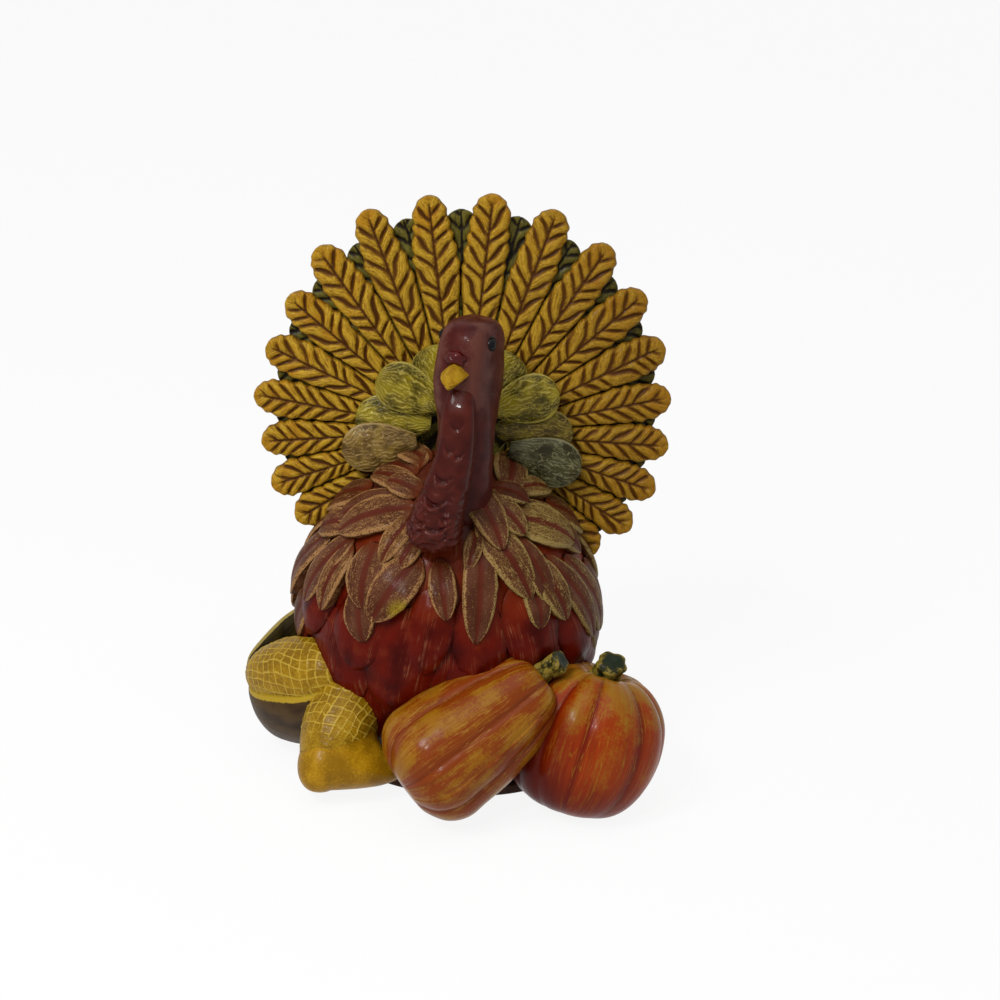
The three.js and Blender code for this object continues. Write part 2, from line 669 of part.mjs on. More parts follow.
function tailFeather(index) {
  const angle = fanAngle(index);
  const steps = 2 * TAIL_BARBS;
  const halfWidth = (t, point) =>
    Math.min(
      (TAIL_FEATHER_WIDTH / 2) * tailTipWidth(t),
      roomBeside(point, index - 1),
      roomBeside(point, index + 1),
    );
  const depth = (u, t, face) => {
    if (face === 0) return GLUE_GAP;
    const step = Math.round(t * steps);
    const ridge = step === steps ? 0 : step % 2 === 1 ? 1 : 0.2;
    const across = Math.abs(u) < 0.1 ? 0 : Math.abs(u) < 0.7 ? 1 : 0.5;
    return -GLUE_GAP - TAIL_FEATHER_EDGE - TAIL_BARB_RELIEF * ridge * across;
  };
  const feather = fanFeather(fanRoot(angle), fanTip(angle, 1), 4, steps, halfWidth, TAIL_BARB_SLANT, depth);
  const front = new THREE.BoxGeometry(REACH, REACH, REACH).translate(0, -GLUE_GAP - REACH / 2, 0);
  return feather.intersect(solid(front));
}

function underFeather(index) {
  const tip = fanTip(fanAngle(index), UNDER_FEATHER_REACH);
  const root = tip.clone().multiplyScalar(0.3);
  const halfWidth = (t) => (UNDER_FEATHER_WIDTH / 2) * tailTipWidth(t);
  const depth = (u, t, face) =>
    face === 1 ? 0 : UNDER_FEATHER_THICKNESS + UNDER_FEATHER_RIDGE * (1 - Math.abs(u)) * (1 - 0.5 * t);
  return fanFeather(root, tip, 2, 3, halfWidth, 0, depth);
}

const hub = solid(
  new THREE.CylinderGeometry(FAN_HUB_RADIUS, FAN_HUB_RADIUS, UNDER_FEATHER_THICKNESS, 20).translate(
    0,
    UNDER_FEATHER_THICKNESS / 2,
    0,
  ),
);
const underFeathers = [];
for (let index = 0.5 - TAIL_FEATHERS_EACH_SIDE; index < TAIL_FEATHERS_EACH_SIDE; index += 1) {
  underFeathers.push(underFeather(index));
}
const bodyInTail = seenFrom(tail, bodyEgg(GLUE_GAP), body);
const plate = cut(join([hub, ...underFeathers]), [bodyInTail]).add(tongueSolid(0));
addPiece(tail, "tail_plate", mainBody(plate), paint(0x4a4a22, 0.45));

for (let index = -TAIL_FEATHERS_EACH_SIDE; index <= TAIL_FEATHERS_EACH_SIDE; index += 1) {
  const number = String(index + TAIL_FEATHERS_EACH_SIDE + 1).padStart(2, "0");
  const feather = mainBody(cut(tailFeather(index), [bodyInTail]));
  addPiece(tail, `tail_feather_${number}`, feather, paint(0xb98a1e, 0.4));
}

// Coverts: two layers of round feathers over the roots of the tail feathers

const covertLayer = GLUE_GAP + TAIL_FEATHER_EDGE + TAIL_BARB_RELIEF + GLUE_GAP;
const covertStep = COVERT_EDGE + COVERT_CROWN + GLUE_GAP;
const coverts = [
  { root: [3, 1], tip: [11, 13], layer: 0 },
  { root: [6, 0], tip: [21.5, 6], layer: 1 },
  { root: [8, -5], tip: [26, -5], layer: 0 },
  { root: [11, -9], tip: [28.5, -13], layer: 1 },
];
function covert(side, { root, tip, layer }) {
  const from = new THREE.Vector2(side * root[0], root[1]);
  const to = new THREE.Vector2(side * tip[0], tip[1]);
  const back = covertLayer + layer * covertStep;
  const halfWidth = (t) => (COVERT_WIDTH / 2) * petalWidth(t);
  const depth = (u, t, face) => -back - face * (COVERT_EDGE + COVERT_CROWN * (1 - u * u));
  return mainBody(cut(fanFeather(from, to, 2, 6, halfWidth, 0, depth), [bodyInTail]));
}
for (const [number, spec] of coverts.entries()) {
  addPiece(tail, `covert_left_${number + 1}`, covert(-1, spec), paint(0x6e6a22, 0.45));
  addPiece(tail, `covert_right_${number + 1}`, covert(1, spec), paint(0x6e6a22, 0.45));
}

// The whole figure, centred over its own footprint

const stand = new THREE.Group();
stand.add(base, body, tail, head, wattle, squash, pumpkin, frontCob, sideCob);
const extent = new THREE.Box3().setFromObject(stand, true);
const middle = extent.getCenter(vec(0, 0, 0));
stand.position.set(-middle.x, -middle.y, -extent.min.z);
const figure = new THREE.Group();
figure.name = "turkey_figure";
figure.add(stand);
export default figure;
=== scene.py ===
import math

import bmesh
import bpy
from mathutils import Matrix, Vector, noise


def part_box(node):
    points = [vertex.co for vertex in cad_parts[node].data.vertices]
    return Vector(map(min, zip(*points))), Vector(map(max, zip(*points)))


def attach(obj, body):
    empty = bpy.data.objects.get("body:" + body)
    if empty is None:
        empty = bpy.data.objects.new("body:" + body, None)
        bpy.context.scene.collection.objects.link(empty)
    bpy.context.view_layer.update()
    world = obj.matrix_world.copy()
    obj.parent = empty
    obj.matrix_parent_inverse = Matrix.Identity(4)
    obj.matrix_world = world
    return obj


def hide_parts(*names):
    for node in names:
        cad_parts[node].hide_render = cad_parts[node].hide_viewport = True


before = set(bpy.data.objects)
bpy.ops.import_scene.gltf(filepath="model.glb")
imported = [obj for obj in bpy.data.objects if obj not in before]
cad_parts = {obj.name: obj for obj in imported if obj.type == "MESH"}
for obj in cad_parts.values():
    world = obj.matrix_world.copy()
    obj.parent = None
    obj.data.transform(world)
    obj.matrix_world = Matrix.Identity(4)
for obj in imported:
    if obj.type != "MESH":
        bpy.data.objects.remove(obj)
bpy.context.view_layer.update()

# The table and the light: a white table top under a large soft lamp above the viewer, with a small
# bare bulb beside it for the glints on the varnish and even light from above and all round. The
# camera looks down on the figure a little, and is held slightly askew.
MM = 0.001
base_low, base_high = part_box("base_plate")
FOOT = (base_low + base_high) / 2 - Vector((4, -9, 0)) * MM
CAMERA_AT = (-7.0, -496.4, 245.8)
CAMERA_TURN = -2
CAMERA_DOWN = 20
CAMERA_ROLL = 5.5
CAMERA_LENS = 77.88
SKY_POWER = 0.9
SKY_SPREAD = 50
SKY_TILT = 12
EVEN_LIGHT = 0.28
TABLE_HALF = 6
TABLE_DROP = 0.0001
LAMP_AIM = (0, -15, 55)
# Each lamp: its name, its place, its size in metres and its power in watts
LAMPS = (
    ("soft_lamp", (-300, -400, 520), 0.15, 2.1),
    ("bare_bulb", (-160, -480, 420), 0.03, 0.65),
)


def at(x, y, z):
    """A place on the figure, from millimetres about the middle of the body."""
    return Vector((FOOT.x + x * MM, FOOT.y + y * MM, z * MM))


def pigment(code):
    """A paint's colour as light, from its six-figure mixing code."""
    shares = [int(code[i : i + 2], 16) / 255 for i in (0, 2, 4)]
    return [((c + 0.055) / 1.055) ** 2.4 if c > 0.04 else c / 12.92 for c in shares] + [1]


class Tone:
    """One socket of a node tree: sums on tones add Math nodes, add() adds any other node. A
    colour may be given by its mixing code."""

    def __init__(self, tree, socket=None):
        self.tree = tree
        self.socket = socket

    def add(self, kind, settings, inputs, output=0):
        node = self.tree.nodes.new(kind)
        for name, value in settings.items():
            setattr(node, name, value)
        for name, value in inputs.items():
            if isinstance(value, Tone):
                self.tree.links.new(value.socket, node.inputs[name])
            else:
                node.inputs[name].default_value = pigment(value) if isinstance(value, str) else value
        return Tone(self.tree, node.outputs[output] if node.outputs else None)

    def math(self, operation, *values):
        return self.add("ShaderNodeMath", {"operation": operation}, dict(enumerate(values)))

    def __add__(self, other):
        return self.math("ADD", self, other)

    __radd__ = __add__

    def __sub__(self, other):
        return self.math("SUBTRACT", self, other)

    def __rsub__(self, other):
        return self.math("SUBTRACT", other, self)

    def __mul__(self, other):
        return self.math("MULTIPLY", self, other)

    __rmul__ = __mul__

    def size(self):
        return self.math("ABSOLUTE", self)

    def step(self, low, high):
        """Rises softly from 0 to 1 as this tone goes from low to high."""
        inputs = {"Value": self, "From Min": low, "From Max": high}
        return self.add("ShaderNodeMapRange", {"interpolation_type": "SMOOTHSTEP"}, inputs)

    def over(self, below, above):
        """The colour above laid over the colour below where this tone is 1."""
        return self.add("ShaderNodeMix", {"data_type": "RGBA"}, {0: self, 6: below, 7: above}, 2)

    def split(self):
        node = self.add("ShaderNodeSeparateXYZ", {}, {0: self}).socket.node
        return [Tone(self.tree, axis) for axis in node.outputs]

    def read(self, name):
        return self.add("ShaderNodeAttribute", {"attribute_name": name}, {}, "Vector")

    def cloud(self, scale, stretch=(1, 1, 1), detail=3):
        """Noise over this vector."""
        placed = self.add("ShaderNodeMapping", {}, {"Vector": self, "Scale": stretch})
        inputs = {"Vector": placed, "Scale": scale, "Detail": detail}
        return self.add("ShaderNodeTexNoise", {}, inputs)

    def where(self):
        return self.add("ShaderNodeTexCoord", {}, {}, "Object")

    def grain(self, size, detail=3):
        """Noise over the figure, with grains of the given size in millimetres."""
        return self.where().cloud(1 / (size * MM), detail=detail)


def seen_white(tone):
    """1 for the rays that show the white surroundings, 0 for the rays that light the figure."""
    kinds = ("Is Camera Ray", "Is Glossy Ray", "Is Transmission Ray")
    camera, glossy, through = [tone.add("ShaderNodeLightPath", {}, {}, kind) for kind in kinds]
    return camera + glossy + through


def bring_in(name, data):
    """Stand a camera, a lamp or a mesh in the scene."""
    thing = bpy.data.objects.new(name, data)
    bpy.context.scene.collection.objects.link(thing)
    return thing


camera = bpy.data.cameras.new("camera")
camera.lens = CAMERA_LENS
camera.sensor_width = 36
eye_point = bring_in("camera", camera)
turn = Matrix.Rotation(math.radians(CAMERA_TURN), 4, "Z")
tip = Matrix.Rotation(math.radians(90 - CAMERA_DOWN), 4, "X")
roll = Matrix.Rotation(math.radians(CAMERA_ROLL), 4, "Z")
eye_point.matrix_world = Matrix.Translation(at(*CAMERA_AT)) @ turn @ tip @ roll
bpy.context.scene.camera = eye_point
bpy.context.scene.view_settings.view_transform = "Standard"

for name, place, size, power in LAMPS:
    lamp = bpy.data.lights.new(name, "AREA")
    lamp.size = size
    lamp.energy = power
    aim = (at(*LAMP_AIM) - at(*place)).to_track_quat("-Z", "Y")
    bring_in(name, lamp).matrix_world = Matrix.Translation(at(*place)) @ aim.to_matrix().to_4x4()

sky = bpy.data.lights.new("overhead", "SUN")
sky.energy = SKY_POWER
sky.angle = math.radians(SKY_SPREAD)
bring_in("overhead", sky).matrix_world = Matrix.Rotation(math.radians(SKY_TILT), 4, "X")

world = bpy.data.worlds.new("studio")
bpy.context.scene.world = world
world.use_nodes = True
world.node_tree.nodes.clear()
air = Tone(world.node_tree)
even_light = air.add("ShaderNodeBackground", {}, {"Color": (1, 1, 1, 1), "Strength": EVEN_LIGHT})
white_walls = air.add("ShaderNodeBackground", {}, {"Color": (1, 1, 1, 1), "Strength": 1})
room = air.add("ShaderNodeMixShader", {}, {0: seen_white(air), 1: even_light, 2: white_walls})
air.add("ShaderNodeOutputWorld", {}, {"Surface": room})

table_paint = bpy.data.materials.new("white_table")
table_paint.use_nodes = True
table_paint.node_tree.nodes.clear()
top = Tone(table_paint.node_tree)
lit_top = top.add("ShaderNodeBsdfDiffuse", {}, {"Color": (0.9, 0.9, 0.9, 1)})
bright_top = top.add("ShaderNodeEmission", {}, {"Color": (1, 1, 1, 1), "Strength": 1})
mixed_top = top.add("ShaderNodeMixShader", {}, {0: seen_white(top) * 0.9, 1: lit_top, 2: bright_top})
top.add("ShaderNodeOutputMaterial", {}, {"Surface": mixed_top})
bm = bmesh.new()
bmesh.ops.create_grid(bm, x_segments=8, y_segments=8, size=TABLE_HALF)
bmesh.ops.translate(bm, verts=bm.verts, vec=(0, 0, -TABLE_DROP))
table_mesh = bpy.data.meshes.new("table")
bm.to_mesh(table_mesh)
bm.free()
table_mesh.materials.append(table_paint)
table = bring_in("table", table_mesh)

# The base: the flat oval foot of the casting, of brown-washed resin, that the bird and the harvest
# round it stand on. Its rim is rounded over, and only its edge shows between the vegetables.
BASE_HALF = ((base_high - base_low) / 2) / MM
BASE_ROUND = 0.8


def new_paint(name, varnish, specular=0.06, dullness=0.16):
    """An empty paint under a thin varnish, and the tone that its nodes grow from."""
    paint = bpy.data.materials.new(name)
    paint.use_nodes = True
    shader = paint.node_tree.nodes["Principled BSDF"]
    shader.inputs["Specular IOR Level"].default_value = specular
    shader.inputs["Coat Weight"].default_value = varnish
    shader.inputs["Coat Roughness"].default_value = dullness
    return paint, Tone(paint.node_tree)


def brush_on(paint, colour, roughness, height, depth):
    """Join a paint's colour, gloss and brush marks, depth millimetres deep, and give it back."""
    shader = paint.node_tree.nodes["Principled BSDF"]
    marks = height.add("ShaderNodeBump", {}, {"Height": height, "Distance": depth * MM})
    for socket, tone in (("Base Color", colour), ("Roughness", roughness), ("Normal", marks)):
        paint.node_tree.links.new(tone.socket, shader.inputs[socket])
    return paint


def hand_over(bm, node, paint):
    """Make a finished mesh the figure's painted piece for one node of the frame."""
    for face in bm.faces:
        face.smooth = True
    mesh = bpy.data.meshes.new(node)
    bm.to_mesh(mesh)
    bm.free()
    mesh.materials.append(paint)
    piece = bring_in(node + "_painted", mesh)
    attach(piece, "root")
    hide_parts(node)


base_paint, tone = new_paint("base_wash", 0.1)
blotch = tone.grain(5)
speck = tone.grain(0.7)
wash = blotch.step(0.35, 0.65).over("4a2e20", "6a4a3a")
brush_on(base_paint, wash, 0.45 + speck * 0.3, speck, 0.15)

bm = bmesh.new()
bmesh.ops.create_circle(bm, cap_ends=True, segments=96, radius=1)
bmesh.ops.scale(bm, verts=bm.verts, vec=(BASE_HALF.x * MM, BASE_HALF.y * MM, 1))
risen = bmesh.ops.extrude_face_region(bm, geom=bm.faces[:])["geom"]
risen = [part for part in risen if isinstance(part, bmesh.types.BMVert)]
bmesh.ops.translate(bm, verts=risen, vec=(0, 0, BASE_HALF.z * 2 * MM))
bmesh.ops.recalc_face_normals(bm, faces=bm.faces)
rims = [edge for edge in bm.edges if edge.calc_face_angle() > 1]
bmesh.ops.bevel(
    bm, geom=rims, offset=BASE_ROUND * MM, affect="EDGES", segments=4, profile=0.5, material=-1
)
bmesh.ops.translate(bm, verts=bm.verts, vec=((base_low + base_high) / 2).xy.to_3d())
hand_over(bm, "base_plate", base_paint)

# The body: an egg of resin standing on the base, glazed deep red with an orange flush under the
# breast feathers and fine tan lines brushed down it.
EGG_CENTRE = Vector((0, -9, 37))
EGG_HALF = Vector((35.25, 30.5, 41))
EGG_FOOT = 3.3
FLUTE_COUNT = 15
FLUTE_DEPTH = 0.55
BODY_STEPS = (120, 72)


def roll_up(bm, steps, place, crisp=False):
    """Add a closed skin: a grid rolled up so that its long edges meet, with its ends closed.
    place(x, t) gives each point, its lie on the surface in millimetres, and its paint marks."""
    layers = bm.verts.layers.float_vector
    for name in ("lay", "marks"):
        if name not in layers:
            layers.new(name)
    lay, marks = layers["lay"], layers["marks"]
    grid = bmesh.ops.create_grid(bm, x_segments=steps[0], y_segments=steps[1], size=1)["verts"]
    for vert in grid:
        vert.co, vert[lay], vert[marks] = place(vert.co.x, (vert.co.y + 1) / 2)
    faces = {face for vert in grid for face in vert.link_faces}
    bmesh.ops.remove_doubles(bm, verts=grid, dist=0.01 * MM)
    faces = [face for face in faces if face.is_valid]
    rims = {edge for face in faces for edge in face.edges if edge.is_boundary}
    faces += bmesh.ops.holes_fill(bm, edges=list(rims), sides=0)["faces"]
    bmesh.ops.recalc_face_normals(bm, faces=faces)
    if crisp:
        for edge in {edge for face in faces for edge in face.edges}:
            edge.smooth = min(edge.verts[0][marks].z, edge.verts[1][marks].z) < 0.999


def cast(node, paint, steps, skins, crisp=False):
    """Roll up the skins of one piece, with steps around and along each, and hand it over."""
    bm = bmesh.new()
    for skin in skins:
        roll_up(bm, steps, skin, crisp)
    hand_over(bm, node, paint)


def root_of(value):
    return math.sqrt(max(0, value))


def waver(x, y, z):
    """Smooth noise from -1 to 1."""
    return noise.noise(Vector((x, y, z)))


def lump(point, size):
    """Smooth noise from -1 to 1, with lumps of the given size in millimetres."""
    return noise.noise(point / (size * MM))


def egg_way(turn, height):
    """The way out from the egg's middle to a turn from the front and a height over the table."""
    up = (height - EGG_CENTRE.z) / EGG_HALF.z
    out = root_of(1 - up * up)
    return Vector((math.sin(math.radians(turn)) * out, -math.cos(math.radians(turn)) * out, up))


def on_egg(way, lift=0.0):
    """The point of the egg that a way leads to, lifted off it by some millimetres, and outwards."""
    out = Vector([way[i] / EGG_HALF[i] for i in range(3)]).normalized()
    point = EGG_CENTRE + Vector([way[i] * EGG_HALF[i] for i in range(3)]) + out * lift
    return at(*point), out


def body_skin(x, t):
    low = math.acos((EGG_FOOT - EGG_CENTRE.z) / EGG_HALF.z)
    polar = low * (1 - t)
    turn = math.pi * x
    flute = abs(math.sin(FLUTE_COUNT * turn / 2 + 1.5 * math.sin(3 * polar)))
    wide = math.sin(polar)
    point, out = on_egg(Vector((math.sin(turn) * wide, -math.cos(turn) * wide, math.cos(polar))))
    swell = FLUTE_DEPTH * (flute - 1) * wide + 0.35 * lump(point, 6)
    point += out * swell * MM
    if t == 0:
        point.z = EGG_FOOT * MM
    return point, (turn * 33, polar * 40, 0), (flute, t, 0)


def red_glaze(name):
    """Deep red glaze, orange under the breast feathers, with fine tan lines brushed down it."""
    paint, tone = new_paint(name, 0.045, 0.04)
    relief, _, _ = tone.read("marks").split()
    _, _, up = tone.where().split()
    wisp = tone.read("lay").cloud(0.7, (1, 0.03, 1), 2)
    line = 1 - (wisp - 0.52).size().step(0.003, 0.02)
    patch = tone.grain(8)
    spot = tone.grain(4)
    speck = tone.grain(0.6)
    # The red is darker where the first mark is low, down in the grooves between the body's flutes:
    # painted shade.
    red = (patch + relief * 0.3).step(0.4, 0.85).over("340200", "580e03")
    flush = (up * 90 + patch * 2).step(4.9, 6.4)
    red = (flush * 0.8).over(red, "6e2408")
    red = ((spot - 0.54).step(0.0, 0.16) * 0.35).over(red, "6c260c")
    red = (up * 100 + patch).step(6.6, 7.2).over(red, "4c1e12")
    shown = line * (0.7 + speck.step(0.4, 0.62) * 0.3) * spot.step(0.42, 0.66)
    lit = (shown * 0.6).over(red, "80543a")
    return brush_on(paint, lit, 0.26 + speck * 0.16, wisp + speck * 0.3, 0.16)


body_red = red_glaze("body_red_glaze")
cast("body", body_red, BODY_STEPS, [body_skin])

# The body feathers: pointed leaves cast in rows over the egg, each two pillows either side of a
# sunk vein, plum brown under a stippled dry brush of old gold that catches pillows and rims.
LEAF_PUFF = 0.4
LOBE_PUFF = 1.3
LEAF_STEPS = (30, 30)
LEAF_SUNK = -0.5
YELLOW_SMEAR = (-11.5, -40.5, 50.5)
# Each leaf: turn and height of its root, turn and height of its tip, width, lift and share of gold
NECK_RUFF_LEFT = (
    (-29, 72.8, -61, 72.0, 6.0, 4.6, 0.55),
    (-38, 73.4, -85, 71.0, 6.0, 4.2, 0.60),
    (-52, 75.1, -108, 71.0, 7.0, 3.6, 0.40),
    (-60, 75.5, -132, 74.0, 7.0, 3.2, 0.25),
    (-110, 77.0, -165, 70.0, 8.0, 2.8, 0.45),
    (-74, 77.0, -104, 74.6, 7.4, 5.5, 0.8),
)
NECK_RUFF_RIGHT = (
    (49, 73.9, 122, 75.5, 8.0, 4.6, 0.55),
    (55, 74.0, 90, 70.4, 5.4, 4.2, 0.85),
    (30, 75.0, 50, 71.0, 5.6, 5.0, 0.02),
    (74, 73.0, 112, 69.5, 6.0, 3.4, 0.50),
    (110, 77.0, 165, 70.0, 8.0, 2.8, 0.45),
)
BREAST_ROW_LEFT = (
    (-29, 70.4, -64, 60.4, 8.8, 4.3, 0.62),
    (-27, 69.1, -32, 58.4, 5.4, 4.2, 0.85),
    (-19, 66.0, -24, 57.8, 5.0, 3.4, 0.60),
    (-44, 71.2, -74, 61.8, 7.0, 3.3, 0.25),
    (-62, 64.0, -84, 57.4, 7.0, 4.4, 0.50),
    (-78, 70.0, -98, 60.0, 8.5, 4.6, 0.45),
)
BREAST_ROW_RIGHT = (
    (14, 74.4, 37, 65.8, 7.0, 4.4, 0.65),
    (37, 69.8, 70, 61.8, 9.6, 4.4, 0.95),
    (46, 71.6, 76, 58.8, 8.0, 3.1, 0.30),
    (12, 70.0, 33, 53.2, 8.2, 4.0, 0.60),
    (12, 68.1, 6, 59.4, 3.8, 3.4, 0.65),
    (78, 70.0, 98, 60.0, 8.5, 3.6, 0.45),
    (5, 75.6, 22, 63.5, 7.4, 5.6, 0.35),
)
BREAST_ROW_MIDDLE = (
    (-56, 61.6, -68, 43.0, 7.0, 4.6, 0.40),
    (-54, 59.8, -54, 44.0, 6.0, 5.2, 0.75),
    (-41, 62.0, -34, 48.0, 9.2, 5.4, 0.45),
    (-16, 61.5, -29, 46.0, 9.0, 6.0, 0.40),
    (-7, 61.5, -1, 49.0, 5.6, 5.6, 0.30),
    (-76, 60.0, -86, 40.6, 8.0, 6.6, 0.40),
    (34, 66.0, 42, 51.2, 6.0, 4.0, 0.15),
    (39, 62.0, 49, 47.2, 7.0, 5.0, 0.55),
    (47, 61.4, 69, 40.0, 6.4, 4.8, 0.35),
    (96, 64.0, 104, 46.0, 8.5, 4.0, 0.40),
    (-96, 64.0, -104, 46.0, 8.5, 5.4, 0.40),
)
BREAST_ROW_LOWER = (
    (-40, 53.0, -31, 40.8, 7.6, 5.4, 0.22),
    (13, 66.0, 10, 44.2, 7.2, 5.2, 0.20),
    (62, 60.0, 79, 39.4, 7.0, 4.6, 0.60),
    (36, 57.0, 36, 46.5, 6.0, 4.6, 0.25),
    (84, 56.0, 93, 36.0, 8.0, 4.2, 0.40),
    (-88, 54.0, -96, 35.0, 8.0, 5.2, 0.40),
    (70, 50.0, 84, 33.0, 7.0, 3.0, 0.30),
    (-70, 48.0, -78, 32.0, 8.0, 3.6, 0.20),
    (102, 50.0, 108, 33.0, 8.0, 1.9, 0.35),
    (-102, 50.0, -108, 33.0, 8.0, 1.9, 0.35),
)
BELLY_ROW_LEFT = (
    (-78, 50.0, -84, 27.0, 14.0, 1.0, 0.0),
    (-58, 54.0, -69, 35.0, 12.0, 2.0, 0.0),
    (-46, 46.0, -44, 21.0, 16.0, 0.8, 0.0),
    (-31, 53.0, -39, 32.0, 13.0, 2.0, 0.0),
    (-14, 50.0, -21, 23.0, 15.0, 1.0, 0.0),
    (-5, 56.0, -9, 35.0, 10.0, 2.0, 0.0),
)
BELLY_ROW_RIGHT = (
    (9, 55.0, 15, 32.0, 11.0, 1.9, 0.0),
    (15, 46.0, 11, 23.0, 13.0, 0.8, 0.0),
    (29, 57.0, 38, 35.0, 13.0, 2.1, 0.0),
    (41, 46.0, 36, 25.0, 13.0, 0.9, 0.0),
    (53, 53.0, 65, 33.0, 12.0, 2.0, 0.0),
    (74, 48.0, 84, 26.0, 13.0, 1.0, 0.0),
)


def rise(value, low, high):
    """Rises softly from 0 to 1 as the value goes from low to high."""
    share = min(1, max(0, (value - low) / (high - low)))
    return share * share * (3 - 2 * share)


def two_faced(x):
    """Once round a flat section: across its front as x goes from -1 to 0, and back behind it."""
    across = 2 * x + 1 if x <= 0 else 1 - 2 * x
    return math.sin(across * math.pi / 2), x <= 0


def leaf_place(leaf, seed):
    root_turn, root_height, tip_turn, tip_height, width, lift, gold = leaf
    root = egg_way(root_turn, root_height)
    tip = egg_way(tip_turn, tip_height)
    length = (on_egg(root)[0] - on_egg(tip)[0]).length / MM

    def place(x, t):
        across, front = two_faced(x)
        spine, out = on_egg(root.lerp(tip, t).normalized())
        ahead = on_egg(root.lerp(tip, t + 0.01).normalized())[0] - spine
        side = ahead.cross(out).normalized()
        half = width * 0.58 * max(0.03, (4 * t**0.95 * (1 - t**0.95))) ** 0.6
        half *= 1 + 0.05 * lump(spine + side * across * 0.002, 2.2)
        edge = abs(across)
        pillow = max(0, 1 - (2 * edge - 1) ** 2) ** 0.7
        high = 0.2 + (0.56 * lift - 0.2) * rise(t, -0.1, 0.7) - 0.3 * rise(t, 0.8, 1.05)
        high -= (across * half) ** 2 / 56
        if front and gold:
            high += LEAF_PUFF * pillow * rise(t, -0.1, 0.25) * (1 - rise(t, 0.75, 1.1))
            high -= 0.35 * (1 - rise(edge, 0.0, 0.2))
            high += 0.16 * rise(edge, 0.74, 0.86) - 0.25 * rise(edge, 0.9, 1)
        elif front:
            high += LOBE_PUFF * (1 - edge * edge) * rise(t, -0.1, 0.4) * (1 - rise(t, 0.7, 1.1))
            high += 0.45 * lump(spine + side * across * 0.006, 4)
        else:
            high += (LEAF_SUNK - high) * (1 - edge**8) - 0.6 * edge**8 * (edge < 0.999)
            high -= 0.12 * (edge >= 0.999)
        point = spine + side * across * half * MM + out * high * MM
        return point, (across * half, t * length, seed), (pillow, gold, edge if front else 0.4)

    return place


def feather_row(node, leaves, paint):
    skins = [leaf_place(leaf, 7.3 * count) for count, leaf in enumerate(leaves)]
    cast(node, paint, LEAF_STEPS, skins, leaves[0][6] > 0)


def leaf_paint(name):
    """Plum brown with a red vein, hatched and stippled with old gold that gathers on the rim."""
    paint, tone = new_paint(name, 0.05)
    _, gold, edge = tone.read("marks").split()
    across, along, _ = tone.read("lay").split()
    speck = tone.grain(0.34, detail=4)
    hatch = tone.read("lay").cloud(1.5, (1.5, 0.35, 1), 3)
    patch = tone.grain(6)
    where = tone.where()
    side, _, _ = where.split()
    plum = patch.step(0.35, 0.65).over("44200f", "56301f")
    vein = (1 - (edge * 2.2 + across.size() * 0.3).step(0.2, 0.9)) * (patch * 0.8 + 0.4)
    plum = (vein * 0.8).over(plum, "541406")
    # Near its root, where it tucks under the row above, each leaf is a plain red with no gold: painted
    # shade there, along with the dry brush missing the tucked-in root.
    plum = (1 - along.step(0.5, 4)).over(plum, "5a240a")
    rim = edge.step(0.74, 0.88) * speck.step(0.3, 0.55)
    cover = speck * 1.4 + hatch * 0.6 + rim * 0.6 + gold * 0.5 - vein * 0.5
    cover = cover.step(1.16, 1.6) * along.step(0.5, 4)
    right = (side * 30).step(-0.3, 0.6)
    old_gold = right.over("76522a", "705a2a")
    bright = right.over("987044", "8e7844")
    old_gold = (hatch + rim * 0.3 + speck * 0.4).step(0.6, 0.95).over(old_gold, bright)
    colour = (cover * 0.95).over(plum, old_gold)
    ends = {0: where, 1: at(*YELLOW_SMEAR)}
    off = where.add("ShaderNodeVectorMath", {"operation": "DISTANCE"}, ends, "Value")
    smear = (1 - (off * 1000 + hatch * 2).step(2.0, 5.0)) * speck.step(0.3, 0.5)
    colour = (smear * 0.8).over(colour, "8a760c")
    return brush_on(paint, colour, 0.34 + speck * 0.25, speck + hatch * 0.6, 0.2)


breast_paint = leaf_paint("breast_dry_brush")
belly_paint = red_glaze("belly_red_glaze")
for node, leaves in (
    ("neck_ruff_left", NECK_RUFF_LEFT),
    ("neck_ruff_right", NECK_RUFF_RIGHT),
    ("breast_row_left", BREAST_ROW_LEFT),
    ("breast_row_right", BREAST_ROW_RIGHT),
    ("breast_row_middle", BREAST_ROW_MIDDLE),
    ("breast_row_lower", BREAST_ROW_LOWER),
):
    feather_row(node, leaves, breast_paint)
for node, leaves in (("belly_row_left", BELLY_ROW_LEFT), ("belly_row_right", BELLY_ROW_RIGHT)):
    feather_row(node, leaves, belly_paint)

# The back feathers: three rows of the same leaves down the bird's back, under the fan, cast with
# the body and brushed like the breast. Each leaf is a little askew, as if modelled by hand.
BACK_SPREAD = 118
back_paint = leaf_paint("back_dry_brush")
# Each row: its node, how many leaves, the heights of their roots and tips, their width and lift
BACK_ROWS = (
    ("back_row_upper", 6, 73.0, 50.0, 12.5, 2.6),
    ("back_row_middle", 6, 58.0, 33.0, 13.0, 2.4),
    ("back_row_lower", 7, 42.0, 14.0, 12.5, 2.2),
)
for node, count, root_height, tip_height, width, lift in BACK_ROWS:
    leaves = []
    for place_in_row in range(count):
        turn = 180 + BACK_SPREAD * ((place_in_row + 0.5) / count - 0.5)
        uneven = waver(turn / 11, tip_height, 0.5)
        tip = (turn + 5 * uneven, tip_height + 4 * uneven)
        size = (width * (1 - 0.2 * uneven), lift)
        leaves.append((turn, root_height, *tip, *size, 0.5 + 0.4 * uneven))
    feather_row(node, leaves, back_paint)

# The tail: a fan leaning back a little behind the bird. Dark green feathers fan out from a round
# hub, cast as one plate, and nineteen gold feathers lie on it, cut in a deep herringbone.
FAN_REACH = (50.0, 50.5)
FAN_LEAN = -5
FAN_TURN = 2.4
FAN_HUB = 24.0
FAN_ROOT = 15.0
